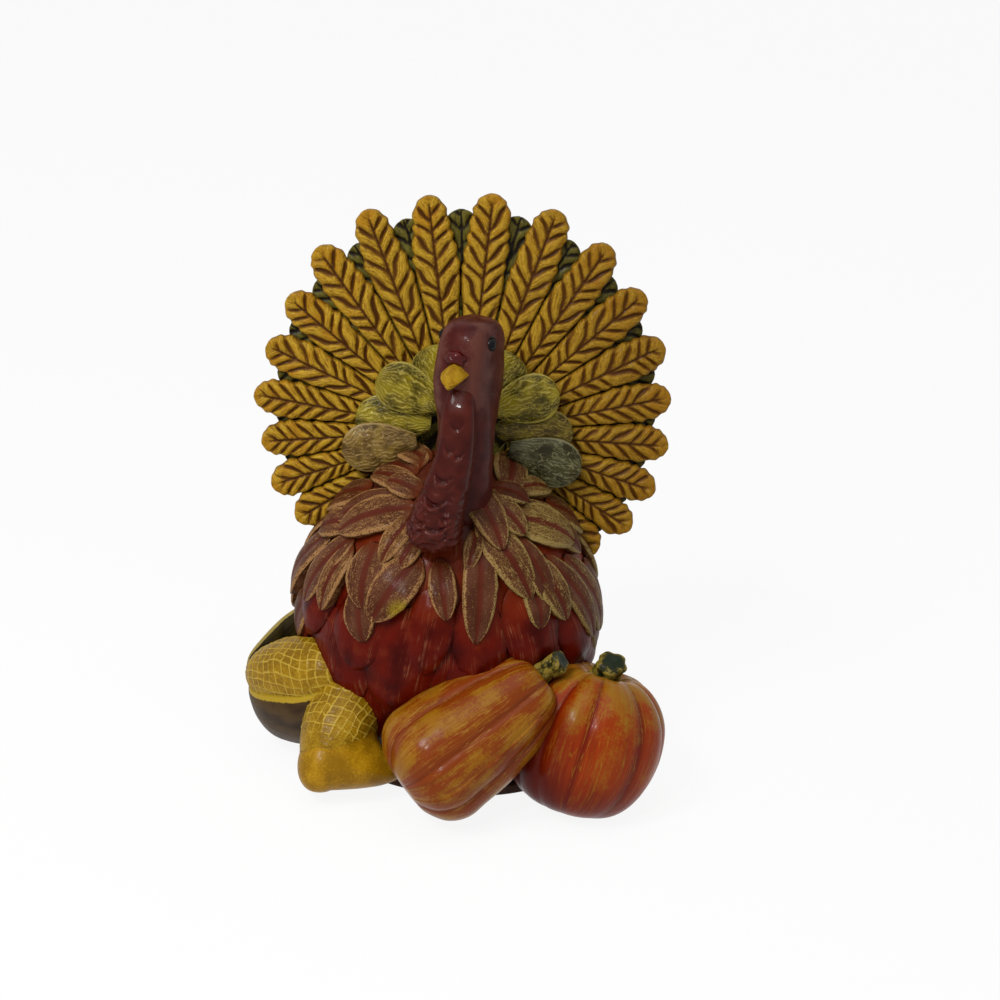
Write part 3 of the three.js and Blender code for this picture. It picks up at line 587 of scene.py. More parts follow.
# How far each gold feather reaches, as a share of the fan, from the lower left over the top
FEATHER_REACH = (1.0, 1.02, 1.0, 1.015, 0.99, 0.985, 1.02, 1.03, 1.0, 1.0)
FEATHER_REACH += (1.01, 1.01, 0.995, 0.985, 0.98, 0.995, 1.01, 1.01, 0.97)
FEATHER_HALF = 5.2
BARB_PITCH = (4.1, 3.3)
BARB_SLOPE = 1.15
FEATHER_STEPS = (64, 124)
GREEN_REACH = (0.3, 0.915)
GREEN_STEPS = (48, 96)
HUB_STEPS = (144, 24)
fan_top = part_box("tail_feather_10")[1].z / MM
fan_lean = math.radians(FAN_LEAN)
fan_height = fan_top - FAN_REACH[1] * math.cos(fan_lean) + 1.4 * math.sin(fan_lean)


def on_fan(x, depth, z):
    """A place on the leaning fan: across it, behind its middle plane, and up it."""
    y = depth * math.cos(fan_lean) - z * math.sin(fan_lean)
    return at(x, y, fan_height + depth * math.sin(fan_lean) + z * math.cos(fan_lean))


def fan_angle(count):
    return math.radians(18 * count - 0.37 * count * abs(count) + FAN_TURN)


def fan_spine(count, t):
    """The middle of a gold feather, from its root at 0 to its tip at 1."""
    angle = fan_angle(count)
    tip = Vector((FAN_REACH[0] * math.sin(angle), FAN_REACH[1] * math.cos(angle)))
    tip *= FEATHER_REACH[count + 9]
    degrees = math.degrees(angle)
    spread = math.radians(1.65 * degrees - 0.0045 * degrees * abs(degrees))
    root = Vector((FAN_ROOT * math.sin(spread), FAN_ROOT * math.cos(spread)))
    return root.lerp(tip, t)


def tip_width(t):
    """A tail feather's share of its full width, narrow at the root and round at the tip."""
    growth = 0.74 + 0.26 * rise(t, 0, 0.5) - 0.16 * rise(t, 0.55, 0.9)
    return growth * math.sqrt(max(0.02, 1 - (max(0, t - 0.85) / 0.152) ** 2))


def barb_phase(along, across, half, seed, pitch):
    """Which barb a point lies on: they curve up from the shaft, a little unevenly."""
    hand = 1 if across > 0 else -1
    slope = BARB_SLOPE * (1.15 - 0.25 * abs(across))
    slope *= 1 + 0.3 * waver(seed, hand * 2.7, 0.5)
    uneven = 0.7 * waver(along / 6, hand * 3.1, seed)
    return (along - slope * abs(across) * half) / pitch + uneven + 0.25 * hand


def barbs(phase, across, seed, smooth):
    """How high the herringbone stands: 1 on the back of a barb, 0 in the cuts and on the shaft.
    The cuts are lenses from the shaft to the rim, and run out where the feather is smooth."""
    edge = abs(across)
    near = abs(phase - round(phase))
    lens = rise(edge, -0.15, 0.3) * (1 - rise(edge, 0.62, 1.05))
    deep = 0.9 + 0.5 * waver(round(phase) * 1.7, across > 0, seed)
    width = 0.08 + 0.22 * lens
    cut = (1 - rise(near, 0.05 * width, width)) * min(1, deep * (0.3 + lens))
    shaft = 1 - rise(edge, 0.03, 0.13)
    back = 0.8 + 0.2 * math.sin(math.pi * (phase % 1))
    back *= 1 - 0.45 * rise(edge, 0.88, 1)
    return back * (1 - cut * (1 - smooth)) * (1 - shaft * (1 - smooth))


def gold_feather(count):
    seed = 11.7 * count
    pitch = BARB_PITCH[0] + (BARB_PITCH[1] - BARB_PITCH[0]) * rise(abs(count), 2, 8)
    length = (fan_spine(count, 1) - fan_spine(count, 0)).length

    def place(x, t):
        across, front = two_faced(x)
        spine = fan_spine(count, t)
        ahead = (fan_spine(count, t + 0.01) - spine).normalized()
        side = Vector((ahead.y, -ahead.x))
        half = FEATHER_HALF * tip_width(t)
        half *= 1 + 0.13 * waver(seed, across, t * 3)
        beside = count + (1 if across > 0 else -1)
        if abs(beside) < 10:
            half = min(half, abs((fan_spine(beside, t) - spine).dot(side)) / 2 - 0.08)
        edge = abs(across)
        phase = barb_phase(t * length, across, half, seed, pitch)
        relief = barbs(phase, across, seed, rise(t, 0.9, 0.98))
        half *= 1 + 0.1 * (math.sin(math.pi * phase) ** 2 - 0.5) * edge * rise(t, 0.35, 0.6)
        dome = root_of(1 - edge**5)
        if front:
            depth = -0.8 - dome * (0.35 + 0.95 * relief) - 0.6 * rise(t, 0.1, 0.6) * dome
        else:
            depth = -0.8 + 0.5 * dome
        flat = spine + side * across * half
        point = on_fan(flat.x, depth, flat.y)
        return point, (phase * pitch, across * half * 1.5, seed), (relief, t, edge)

    return place


def fan_paint(name, cut, shaft, brushed, bright, tip_tint, amount):
    """Paint brushed nearly dry over a darker wash, so that it stays off the cuts and the shaft."""
    paint, tone = new_paint(name, 0.05)
    relief, along, _ = tone.read("marks").split()
    speck = tone.grain(0.5, detail=4)
    fibre = tone.read("lay").cloud(1.2, (1.8, 0.4, 1), 3)
    hair = tone.read("lay").cloud(2.4, (1.6, 0.3, 1), 2)
    patch = tone.grain(7)
    spot = tone.grain(3)
    dark = (relief + speck * 0.2).step(0.1, 0.5).over(cut, shaft)
    cover = (relief * 1.3 + speck * 0.5 + fibre * 0.6 + patch * 0.3 + amount).step(1.0, 1.75)
    light = (relief * 0.3 + fibre * 1.2 + speck * 0.7 + patch * 0.5).step(1.05, 1.7)
    light = light.over(brushed, bright)
    orange = (patch * 0.6 + spot * 0.6 + along * 0.35).step(0.8, 1.05)
    light = (orange * 0.6).over(light, tip_tint)
    light = ((hair - 0.5).step(0.0, 0.16) * 0.5).over(light, shaft)
    # Towards the right side the brushed colour is pulled a little towards the shaft brown: painted
    # shade on the side away from the lamps.
    side, _, _ = tone.where().split()
    light = ((side * 25).step(-0.2, 1) * 0.4).over(light, shaft)
    colour = cover.over(dark, light)
    return brush_on(paint, colour, 0.36 + speck * 0.22, speck + fibre * 0.7, 0.18)


gold_paint = fan_paint("gold_dry_brush", "422303", "5e3a0c", "78540a", "b69028", "9a6406", -0.05)
for number in range(19):
    node = "tail_feather_%02d" % (number + 1)
    cast(node, gold_paint, FEATHER_STEPS, [gold_feather(number - 9)])


def green_feather(count):
    angle = fan_angle(count)
    tip = Vector((FAN_REACH[0] * math.sin(angle), FAN_REACH[1] * math.cos(angle))) * GREEN_REACH[1]
    root = tip * GREEN_REACH[0]
    ahead = (tip - root).normalized()
    side = Vector((ahead.y, -ahead.x))
    seed = 5.3 * count + 200

    def place(x, t):
        across, front = two_faced(x)
        half = FEATHER_HALF * tip_width(t)
        along = t * (tip - root).length
        edge = abs(across)
        phase = barb_phase(along, across, half, seed, BARB_PITCH[0])
        relief = barbs(phase, across, seed, 0)
        dome = root_of(1 - edge**4)
        if front:
            depth = 0.9 - dome * 0.5 - 0.6 * relief * dome
        else:
            depth = 0.9 + dome * (0.8 + 0.35 * relief + 0.45 * (1 - t))
            depth -= 0.35 * (1 - rise(edge, 0.02, 0.14))
        flat = root.lerp(tip, t) + side * across * half
        point = on_fan(flat.x, depth, flat.y)
        return point, (across * half, along, seed), (relief, t, edge)

    return place


def fan_hub(x, t):
    turn = math.pi * x
    out = FAN_HUB * math.sin(math.pi * t)
    depth = 1.0 - 0.8 * math.cos(math.pi * t)
    depth += 1.1 * rise(t, 0.5, 0.95)
    ridge = 0.5 + 0.5 * math.sin(18 * turn)
    depth += 0.25 * ridge * rise(t, 0.5, 0.7)
    point = on_fan(out * math.sin(turn), depth, out * math.cos(turn))
    return point, (turn * 12, out, 300), (ridge, 0.3, 0.5)


green_paint = fan_paint("green_dry_brush", "120c04", "20180a", "383210", "6a6228", "5a5014", 0.0)
bm = bmesh.new()
for number in range(18):
    roll_up(bm, GREEN_STEPS, green_feather(number - 8.5))
roll_up(bm, HUB_STEPS, fan_hub)
hand_over(bm, "tail_plate", green_paint)

# The coverts: eight broad round feathers glued over the roots of the fan on either side of the
# neck. Raised strokes follow their outline, olive with scratchy yellow lines, and the lower
# feathers are tan on one side and grey on the other.
COVERT_HALF = 6.0
COVERT_LIFT = (3.6, 2.5)
COVERT_STEPS = (96, 60)
# Each covert: where on the fan its root and its tip lie, and its layer
COVERTS = (
    ((3, 1), (11, 13), 0),
    ((6, 0), (21.5, 6), 1),
    ((8, -5), (26, -5), 0),
    ((11, -9), (28.5, -13), 1),
)


def petal_width(t):
    if t < 0.65:
        return 0.3 + 0.7 * math.sin(t / 0.65 * math.pi / 2)
    return math.sqrt(max(0.03, 1 - ((t - 0.65) / 0.356) ** 2))


def covert(root, tip, layer, hand, seed):
    root = Vector((root[0] * hand, root[1]))
    tip = Vector((tip[0] * hand, tip[1]))
    ahead = (tip - root).normalized()
    side = Vector((ahead.y, -ahead.x))
    back = -(COVERT_LIFT[0] + COVERT_LIFT[1] * layer)

    def place(x, t):
        across, front = two_faced(x)
        half = COVERT_HALF * petal_width(t)
        along = t * (tip - root).length
        edge = abs(across)
        dome = root_of(1 - edge**4)
        flat = root.lerp(tip, t) + side * across * half
        point = on_fan(flat.x, back, flat.y)
        apart = Vector((0, seed * 0.01, 0))
        fold = lump(point + apart, 3.6)
        drawn = edge + 0.2 * lump(point + apart * 2, 3) + 0.07 * lump(point + apart, 1.1)
        stroke = (0.5 + 0.5 * math.cos(11 * math.pi * drawn)) ** 2
        if front:
            rise_up = 0.5 + 1.2 * (1 - across * across) + 0.3 * fold + 0.22 * stroke
            depth = back - 0.5 - dome * rise_up
        else:
            depth = back - 0.5 + 0.45 * dome
        return on_fan(flat.x, depth, flat.y), (across * half, along, seed), (stroke, t, edge)

    return place


def covert_paint(name, dark, olive, glow, yellow, amount):
    """Olive glaze with scratchy yellow lines that follow the outline of each feather."""
    paint, tone = new_paint(name, 0.14)
    stroke, _, edge = tone.read("marks").split()
    swirl = tone.read("lay").cloud(0.5, (1.4, 0.5, 1), 2)
    speck = tone.grain(0.4)
    patch = tone.grain(4)
    wear = swirl * 0.7 + speck * 0.5 + patch * 0.6 + amount
    line = stroke.step(0.3, 0.9) * wear.step(0.78, 1.05)
    line = line.math("MAXIMUM", line, (edge + speck * 0.06).step(0.93, 0.98) * 0.8)
    loop = 1 - (swirl - 0.5).size().step(0.006, 0.024)
    line = line.math("MAXIMUM", line, loop * 0.8)
    ground = (patch + swirl * 0.6 - edge * 0.15).step(0.5, 0.95).over(dark, olive)
    ground = ((patch + speck * 0.3).step(0.6, 0.78) * 0.6).over(ground, glow)
    colour = (line * 0.7).over(ground, yellow)
    return brush_on(paint, colour, 0.24 + speck * 0.16, line * 0.6 + speck * 0.3, 0.15)


upper_covert = covert_paint("covert_olive", "423a0c", "786618", "8e800a", "b8a64e", 0.08)
tan_covert = covert_paint("covert_tan", "4a3610", "705426", "806a28", "a88c5a", 0.03)
middle_covert = covert_paint("covert_brown_olive", "3a2e0a", "5e4c16", "766a10", "a08c44", 0.0)
grey_covert = covert_paint("covert_grey_green", "28240f", "444020", "54543a", "8e8862", -0.03)
covert_paints = {
    -1: ("left", (upper_covert, upper_covert, upper_covert, tan_covert)),
    1: ("right", (upper_covert, upper_covert, middle_covert, grey_covert)),
}
for hand, (side_name, paints) in covert_paints.items():
    for number, (root, tip, layer) in enumerate(COVERTS):
        node = "covert_%s_%d" % (side_name, number + 1)
        skin = covert(root, tip, layer, hand, 3.1 * number + 20 * hand)
        cast(node, paints[number], COVERT_STEPS, [skin])

# The head and neck: one tall rounded block with a flat forehead on a stout neck, turned a little
# to one side, sunk into the body's top and glazed plum brown under a satin varnish.
HEAD = Vector((-0.4, -27, 107.05))
HEAD_TURN = math.radians(-25)
NECK_STEPS = (80, 110)
# Height, middle across and in depth, half width, half depth, squareness and share of the head's turn
NECK_RINGS = (
    (60.0, 0.6, -16.0, 10.0, 10.0, 2.0, 0.0),
    (66.0, 0.6, -19.5, 8.6, 8.6, 2.0, 0.0),
    (74.0, 0.5, -22.4, 7.2, 7.3, 2.1, 0.0),
    (84.0, 0.3, -25.5, 6.6, 6.5, 2.2, 0.2),
    (92.0, 0.2, -26.9, 6.4, 6.8, 2.4, 0.5),
    (98.0, -0.1, -27.0, 6.6, 8.4, 2.7, 0.9),
    (103.0, -0.3, -26.9, 6.7, 9.1, 3.0, 1.0),
    (108.0, -0.3, -26.9, 6.4, 9.0, 3.1, 1.0),
    (112.5, -0.3, -26.9, 6.1, 8.4, 3.1, 1.0),
    (115.4, -0.3, -26.8, 5.4, 7.3, 2.9, 1.0),
    (116.9, -0.3, -26.7, 4.0, 5.3, 2.5, 1.0),
    (117.4, -0.3, -26.7, 2.1, 2.6, 2.1, 1.0),
    (117.5, -0.3, -26.7, 0.02, 0.02, 2.0, 1.0),
)


def along_rows(rows, t):
    """A smooth line through rows of values, from the first at 0 to the last at 1."""
    last = len(rows) - 1
    first = min(last - 1, int(t * last))
    share = t * last - first
    near = [rows[min(last, max(0, first + step))] for step in (-1, 0, 1, 2)]
    line = []
    for before, start, end, after in zip(*near):
        pull = (end - before) / 2
        push = (after - start) / 2
        bend = 3 * (end - start) - 2 * pull - push
        twist = 2 * (start - end) + pull + push
        line.append(start + share * (pull + share * (bend + share * twist)))
    return line


def rounded(angle, squareness):
    """A point of a circle that grows squarer with squareness above 2."""
    power = 2 / squareness
    ways = (math.cos(angle), math.sin(angle))
    return [math.copysign(abs(way) ** power, way) for way in ways]


def turned(x, y, angle):
    return x * math.cos(angle) - y * math.sin(angle), x * math.sin(angle) + y * math.cos(angle)


def neck_skin(x, t):
    height, mid_x, mid_y, half, deep, squareness, share = along_rows(NECK_RINGS, t)
    angle = math.pi * x
    out_x, out_y = rounded(angle, squareness)
    out_x *= max(0, half)
    out_y *= max(0, deep)
    if out_y < 0 and height > 96:
        brow = math.exp(-(((height - 107) / 3.2) ** 2) - (out_x / 4.5) ** 2)
        out_y -= 0.9 * brow
    off_x, off_y = turned(out_x, out_y, HEAD_TURN * share)
    point = at(mid_x + off_x, mid_y + off_y, height)
    fold = lump(point, 4) * 0.22
    point += Vector((off_x, off_y, 0)).normalized() * fold * MM * (t < 1)
    corner = abs(out_x / max(0.1, half)) * abs(out_y / max(0.1, deep)) * rise(height, 94, 100)
    return point, (angle * 8, height, 0), (0.5 + 0.5 * lump(point, 3), t, corner)


def on_head(x, y, z):
    off_x, off_y = turned(x, y, HEAD_TURN)
    return HEAD + Vector((off_x, off_y, z))


def skin_paint(name, deep, plum, highlight_and_wear, varnish):
    """Plum glaze, darker in the folds as painted shade and pooled glaze, and lighter on the
    lumps and the corners as painted highlight and wear.
    """
    paint, tone = new_paint(name, varnish, dullness=0.08)
    fold, _, corner = tone.read("marks").split()
    patch = tone.grain(4)
    speck = tone.grain(0.5)
    # The deep colour in the creases is painted shade; the lighter colour on the lips, lumps and
    # corners is painted highlight with some wear.
    plum_tone = (fold * 0.7 + patch * 0.6).step(0.35, 0.85).over(deep, plum)
    worn = (patch * 0.8 + speck * 0.4 + fold * 0.4 + corner * 0.8).step(0.95, 1.35)
    colour = (worn * 0.8).over(plum_tone, highlight_and_wear)
    return brush_on(paint, colour, 0.26 + speck * 0.18, patch + speck * 0.25, 0.2)


plum_paint = skin_paint("plum_glaze", "380c09", "491b16", "5a342b", 0.06)
cast("head_and_neck", plum_paint, NECK_STEPS, [neck_skin])

# The eyes: glossy black beads pressed into the sides of the head, each in a raised lid, painted
# last and varnished more than the skin round them.
EYE_AT = (5.7, -2.4, 6)
EYE_ROOT = (0.6, -1.0, 5.4)
EYE_STEPS = (32, 28)
EYE_RINGS = (
    (0.02, 1.35),
    (0.7, 1.2),
    (1.2, 0.8),
    (1.42, 0.35),
    (1.5, 0.3),
    (1.7, 0.4),
    (1.9, 0.2),
    (1.95, -1.0),
)


def round_axis(out, turn, along):
    """A point at some distance out from an axis, at a turn round it and some way along it."""
    return Vector((max(0, out) * math.cos(turn), max(0, out) * math.sin(turn), along))


def eye_skin(middle, stand):
    def place(x, t):
        wide, high = along_rows(EYE_RINGS, t)
        turn = math.pi * x
        point = at(*(middle + stand @ round_axis(wide, turn, high)))
        return point, (turn, t, 0), (rise(t, 0.45, 0.6), t, 0)

    return place


eye_paint, tone = new_paint("eye_black_gloss", 0.12)
lid, _, _ = tone.read("marks").split()
speck = tone.grain(0.4)
bead = (speck * 0.4 + lid).step(0.4, 0.9).over("040408", "200c08")
brush_on(eye_paint, bead, 0.1 + lid * 0.3 + speck * 0.05, speck, 0.03)
for hand, node in ((-1, "eye_left"), (1, "eye_right")):
    middle = on_head(EYE_AT[0] * hand, *EYE_AT[1:])
    out = (middle - on_head(EYE_ROOT[0] * hand, *EYE_ROOT[1:])).normalized()
    skin = eye_skin(middle, out.to_track_quat("Z", "Y").to_matrix())
    cast(node, eye_paint, EYE_STEPS, [skin])

# The snood: a small knot of red-brown lumps over the beak, modelled on the face and glazed redder
# and glossier than the skin round it.
SNOOD_AT = (0.4, -8.9, 3.2)
SNOOD_RADIUS = 2.1
SNOOD_STEPS = (36, 24)


def snood_skin(x, t):
    turn = math.pi * x
    polar = math.pi * t
    way = round_axis(math.sin(polar), turn, math.cos(polar))
    swell = 1 + 0.22 * noise.noise(way * 1.9 + Vector((3, 1, 7)))
    across, ahead = turned(way.x * 1.25, way.y, HEAD_TURN)
    point = on_head(*SNOOD_AT) + Vector((across, ahead, way.z * 0.8)) * SNOOD_RADIUS * swell
    return at(*point), (turn, t, 0), (0.5 + 2 * (swell - 1), t, 0)


snood_paint = skin_paint("snood_glaze", "340402", "4a0a06", "5c1a12", 0.25)
cast("snood", snood_paint, SNOOD_STEPS, [snood_skin])

# The beak: a short stout cone of four sides set in the face, painted yellow gold, with its tip
# hooked a little over a cut mouth line.
BEAK_FOOT = on_head(0.9, -8.8, -0.1)
BEAK_RINGS = ((-2.0, 3.1), (0.0, 3.1), (1.6, 2.9), (3.0, 2.3), (3.9, 1.5), (4.3, 0.9), (4.4, 0.02))
BEAK_DROOP = math.radians(12)
BEAK_STEPS = (40, 30)


def beak_skin(x, t):
    ahead, radius = along_rows(BEAK_RINGS, t)
    turn = math.pi * x
    wide, high = [max(0, radius) * way for way in rounded(turn, 1.08)]
    mouth = sum(math.exp(-(((turn + cut) / 0.13) ** 2)) for cut in (0.5, math.pi - 0.5))
    pinch = 1 - 0.16 * mouth * rise(t, 0.15, 0.4)
    drop = ahead * math.sin(BEAK_DROOP) + 0.05 * max(0, ahead) ** 2
    off_x, off_y = turned(wide * pinch, -ahead, HEAD_TURN)
    point = at(BEAK_FOOT.x + off_x, BEAK_FOOT.y + off_y, BEAK_FOOT.z + high * pinch - drop)
    corner = 1 if abs(math.sin(2 * turn)) < 0.02 and t > 0.3 else 0
    return point, (turn * 2, ahead, 0), (1 - mouth, t, corner)


beak_paint, tone = new_paint("beak_gold", 0.08)
smooth, _, _ = tone.read("marks").split()
speck = tone.grain(0.5)
patch = tone.grain(1.8)
gold = patch.step(0.35, 0.65).over("845e06", "9e7a18")
gold = smooth.step(0.1, 0.8).over("5c3a0c", gold)
brush_on(beak_paint, gold, 0.34 + speck * 0.2, speck + patch, 0.12)
cast("beak", beak_paint, BEAK_STEPS, [beak_skin], True)

# The wattle: the loose skin under the beak, hanging down the breast in lumpy folds that sag in
# the middle and end in a ragged swelling; the glossiest, darkest plum on the bird.
WATTLE_STEPS = (96, 180)
# Middle of each row across, in depth and in height, half its width and half its depth
WATTLE_ROWS = (
    (-1.6, -33.5, 104.0, 2.6, 2.2),
    (-1.9, -35.4, 99.0, 3.6, 3.0),
    (-1.8, -36.0, 94.0, 4.0, 3.3),
    (-1.9, -35.8, 88.5, 4.3, 3.8),
    (-3.1, -35.5, 81.0, 5.1, 4.9),
    (-4.3, -35.1, 75.5, 5.7, 6.0),
    (-5.2, -34.9, 70.0, 6.1, 6.9),
    (-5.1, -34.7, 67.6, 5.5, 6.6),
    (-5.0, -35.0, 65.9, 3.6, 4.6),
    (-5.0, -35.6, 65.2, 0.02, 0.02),
)
# Height of each fold's lowest point, its place across, half its width and how far it stands out
WATTLE_FOLDS = (
    (94.0, 0.05, 0.45, 0.4),
    (88.6, -0.2, 0.35, 0.5),
    (87.6, 0.25, 0.4, 0.6),
    (81.6, -0.15, 0.46, 0.9),
    (76.1, -0.17, 0.5, 1.0),
    (73.0, 0.45, 0.3, 0.6),
    (71.6, -0.45, 0.35, 0.6),
    (70.4, 0.15, 0.5, 1.1),
    (68.6, -0.6, 0.3, 0.8),
)


def wattle_skin(x, t):
    mid_x, mid_y, height, half, deep = along_rows(WATTLE_ROWS, t)
    turn = math.pi * x
    out_x, out_y = rounded(turn, 3.2)
    near = at(mid_x + half * out_y, mid_y, height)
    ragged = 0.5 * lump(near, 2.6) + 0.3 * lump(near, 1.3)
    fold = 0
    for fold_height, middle, span, lip in WATTLE_FOLDS:
        off = (out_y - middle) / span
        sag = height - fold_height - 2 * off * off
        held = lip * (1 - rise(abs(off), 0.6, 1.1))
        crease = 0.7 * math.exp(-(((sag - 1.0) / 0.5) ** 2))
        fold += held * (math.exp(-((sag / 0.55) ** 2)) - crease)
    fold *= out_x > 0
    swell = 1 + (0.16 * ragged + 0.1 * lump(near, 0.9)) * rise(t, 0.2, 0.7)
    off_x = max(0, half) * out_y * swell
    off_y = -max(0, deep) * out_x * swell - 0.8 * fold
    drop = (1.3 * ragged - 0.9 * abs(math.sin(4.2 * out_y + 0.6))) * rise(t, 0.7, 1)
    off_x, off_y = turned(off_x, off_y, HEAD_TURN * 0.4)
    point = at(mid_x + off_x, mid_y + off_y, height + drop)
    return point, (turn * 5, t * 40, 0), (0.45 + 0.5 * fold + 0.4 * ragged, t, 0)


wattle_paint = skin_paint("wattle_glaze", "320603", "4a180f", "603630", 0.1)
cast("wattle", wattle_paint, WATTLE_STEPS, [wattle_skin])

# The squash: a ribbed gourd lying against the breast with its blossom end to the front, orange
# with yellow ridges, streaked along its length and varnished.
SQUASH_FOOT = Vector((-2, -44.5, 14.14))
SQUASH_WAY = Vector((30, 12, 23))
SQUASH_STEPS = (168, 90)
TABLE_GAP = 0.2
# Radius of each ring and its place along the squash
SQUASH_ROWS = (
    (0.02, -7.6),
    (5.0, -7.4),
    (8.6, -6.7),
    (13.1, -3.8),
    (15.1, 0.4),
    (15.0, 6.5),
    (14.3, 13.4),
    (13.3, 19.0),
    (12.1, 24.0),
    (10.3, 29.5),
    (8.2, 32.4),
    (5.0, 33.5),
    (0.02, 33.0),
)
SQUASH_RIBS = 7
SQUASH_GROOVE = 1.5


def stand_on(foot, way):
    """A frame at a foot, with its third axis along a way."""
    return Matrix.Translation(foot) @ way.to_track_quat("Z", "Y").to_matrix().to_4x4()


def laid(frame_at, local):
    """A point of a piece in its own frame, placed on the figure and kept just over the table."""
    point = frame_at @ local
    return at(point.x, point.y, max(TABLE_GAP, point.z))


def rib(turn, count, power):
    """1 along the top of a rib and 0 down in the groove between two."""
    return abs(math.cos(count * turn / 2)) ** power


squash_frame = stand_on(SQUASH_FOOT, SQUASH_WAY)


def squash_skin(x, t):
    radius, along = along_rows(SQUASH_ROWS, t)
    turn = math.pi * x
    ridge = rib(turn - 0.4, SQUASH_RIBS, 0.42)
    wave = 0.25 * lump(Vector((turn * 4, along, 5)) * MM, 5) * math.sin(math.pi * t)
    out = max(0, radius) - SQUASH_GROOVE * (1 - ridge) * rise(radius, 1, 9) + wave * rise(radius, 2, 6)
    point = laid(squash_frame, round_axis(out, turn, along))
    return point, (turn * 13, along, 40), (ridge, t, 0)


def rind_paint(name, groove, flesh, ridge_tint, top_tint, top_from, varnish):
    """Streaked vegetable rind: darker in the grooves, yellower along the ribs and by the stem."""
    paint, tone = new_paint(name, varnish)
    ridge, along, deep = tone.read("marks").split()
    lay = tone.read("lay")
    streak = lay.cloud(0.75, (1, 0.11, 1), 4)
    hair = lay.cloud(0.9, (1, 0.05, 1), 3)
    patch = tone.grain(8)
    speck = tone.grain(0.6, detail=4)
    rind = ridge.step(0.0, 0.5).over(groove, flesh)
    rind = ((streak - 0.5).step(0.0, 0.2) * 0.5).over(rind, groove)
    worn = (ridge * 0.5 + streak * 0.8 + patch * 0.8 + speck * 0.4 - deep).step(1.31, 1.67)
    rind = (worn * 0.8).over(rind, ridge_tint)
    crown = (along + patch * 0.9 + speck * 0.3 + ridge * 0.15 - 0.7).step(top_from, top_from + 0.25)
    rind = (crown * (0.25 + streak * 0.8)).over(rind, top_tint)
    # The third mark lays a deeper red over the rind and holds back its wear and lines: painted shade
    # where it is set.
    rind = deep.over(rind, "520e02")
    line = (1 - (hair - 0.5).size().step(0.004, 0.018)) * (patch + speck * 0.4).step(0.48, 0.72)
    rind = (line * (0.55 - deep * 0.5)).over(rind, top_tint)
    return brush_on(paint, rind, 0.24 + speck * 0.12, hair + speck * 0.4, 0.12)


squash_paint = rind_paint("squash_rind", "5a1c03", "783206", "92650e", "9e7430", 0.95, 0.12)
cast("squash", squash_paint, SQUASH_STEPS, [squash_skin])

# The pumpkin: a squat round fruit leaning on the bird's other side, red-orange, with deep grooves
# that run up to a golden shoulder round the stem.
PUMPKIN_MIDDLE = Vector((34.8, -30, 16.8))
PUMPKIN_STEPS = (180, 84)
PUMPKIN_ROWS = (
    (0.02, -15.2),
    (3.6, -16.2),
    (7.2, -16.8),
    (11.8, -15.1),
    (15.2, -11.8),
    (17.7, -6.8),
    (18.8, -1.0),
    (18.6, 4.6),
    (17.3, 9.4),
    (14.6, 13.4),
    (11.0, 16.2),
    (7.2, 17.2),
    (3.4, 15.6),
    (0.02, 13.6),
)
PUMPKIN_RIBS = 10
PUMPKIN_GROOVE = 1.5
PUMPKIN_LEAN = math.radians(12)
pumpkin_frame = Matrix.Translation(PUMPKIN_MIDDLE) @ Matrix.Rotation(-PUMPKIN_LEAN, 4, "X")
pumpkin_frame = pumpkin_frame @ Matrix.Rotation(PUMPKIN_LEAN, 4, "Y")


def pumpkin_skin(x, t):
    radius, along = along_rows(PUMPKIN_ROWS, t)
    turn = math.pi * x
    ridge = rib(turn + 0.12 * math.sin(3 * turn), PUMPKIN_RIBS, 0.9)
    out = max(0, radius) - PUMPKIN_GROOVE * (1 - ridge) * rise(radius, 1, 10) * (0.2 + 1.3 * t * t)
    # The third mark: painted shade on the underside, and on the side turned to the bird and the squash
    # a darker red that is partly the lobe's own paint and partly painted shade.
    deep = 0.9 * rise(-math.cos(turn), 0.0, 0.7) * rise(along, 14, 2) + 0.6 * rise(along, -2, -14)
    point = laid(pumpkin_frame, round_axis(out, turn, along))
    return point, (turn * 15, along, 60), (ridge, t, deep)


pumpkin_paint = rind_paint("pumpkin_rind", "641402", "8a2e04", "92440a", "906c1a", 0.55, 0.08)
cast("pumpkin", pumpkin_paint, PUMPKIN_STEPS, [pumpkin_skin])

# The stems: stubby five-sided stalks with a flared foot and a cut end, dark green with a yellow
# dry brush on their corners.
STEM_ROWS = ((3.9, -1.4), (3.5, 0.0), (2.9, 1.6), (2.6, 3.4), (2.6, 5.4), (2.8, 7.2))
STEM_ROWS += ((2.7, 8.3), (2.0, 8.6), (0.02, 8.2))
STEM_STRETCH = 0.8
STEM_STEPS = (50, 40)
squash_top = squash_frame @ Vector((0, 0, 33)) + Vector((-1, 0, 2.2))
pumpkin_top = pumpkin_frame @ Vector((0, 0, 15))
stem_paint, tone = new_paint("stem_green", 0.1)
corner, along, _ = tone.read("marks").split()
speck = tone.grain(0.6, detail=4)
patch = tone.grain(2.2)
green = patch.step(0.35, 0.65).over("22220f", "464218")
brushed = (corner * 0.15 + speck * 0.9 + patch * 1.0 - along.step(0.84, 0.9)).step(0.85, 1.15)
green = (brushed * 0.9).over(green, "88742c")
green = along.step(0.86, 0.9).over(green, "16200f")
brush_on(stem_paint, green, 0.4 + speck * 0.25, speck + patch, 0.25)


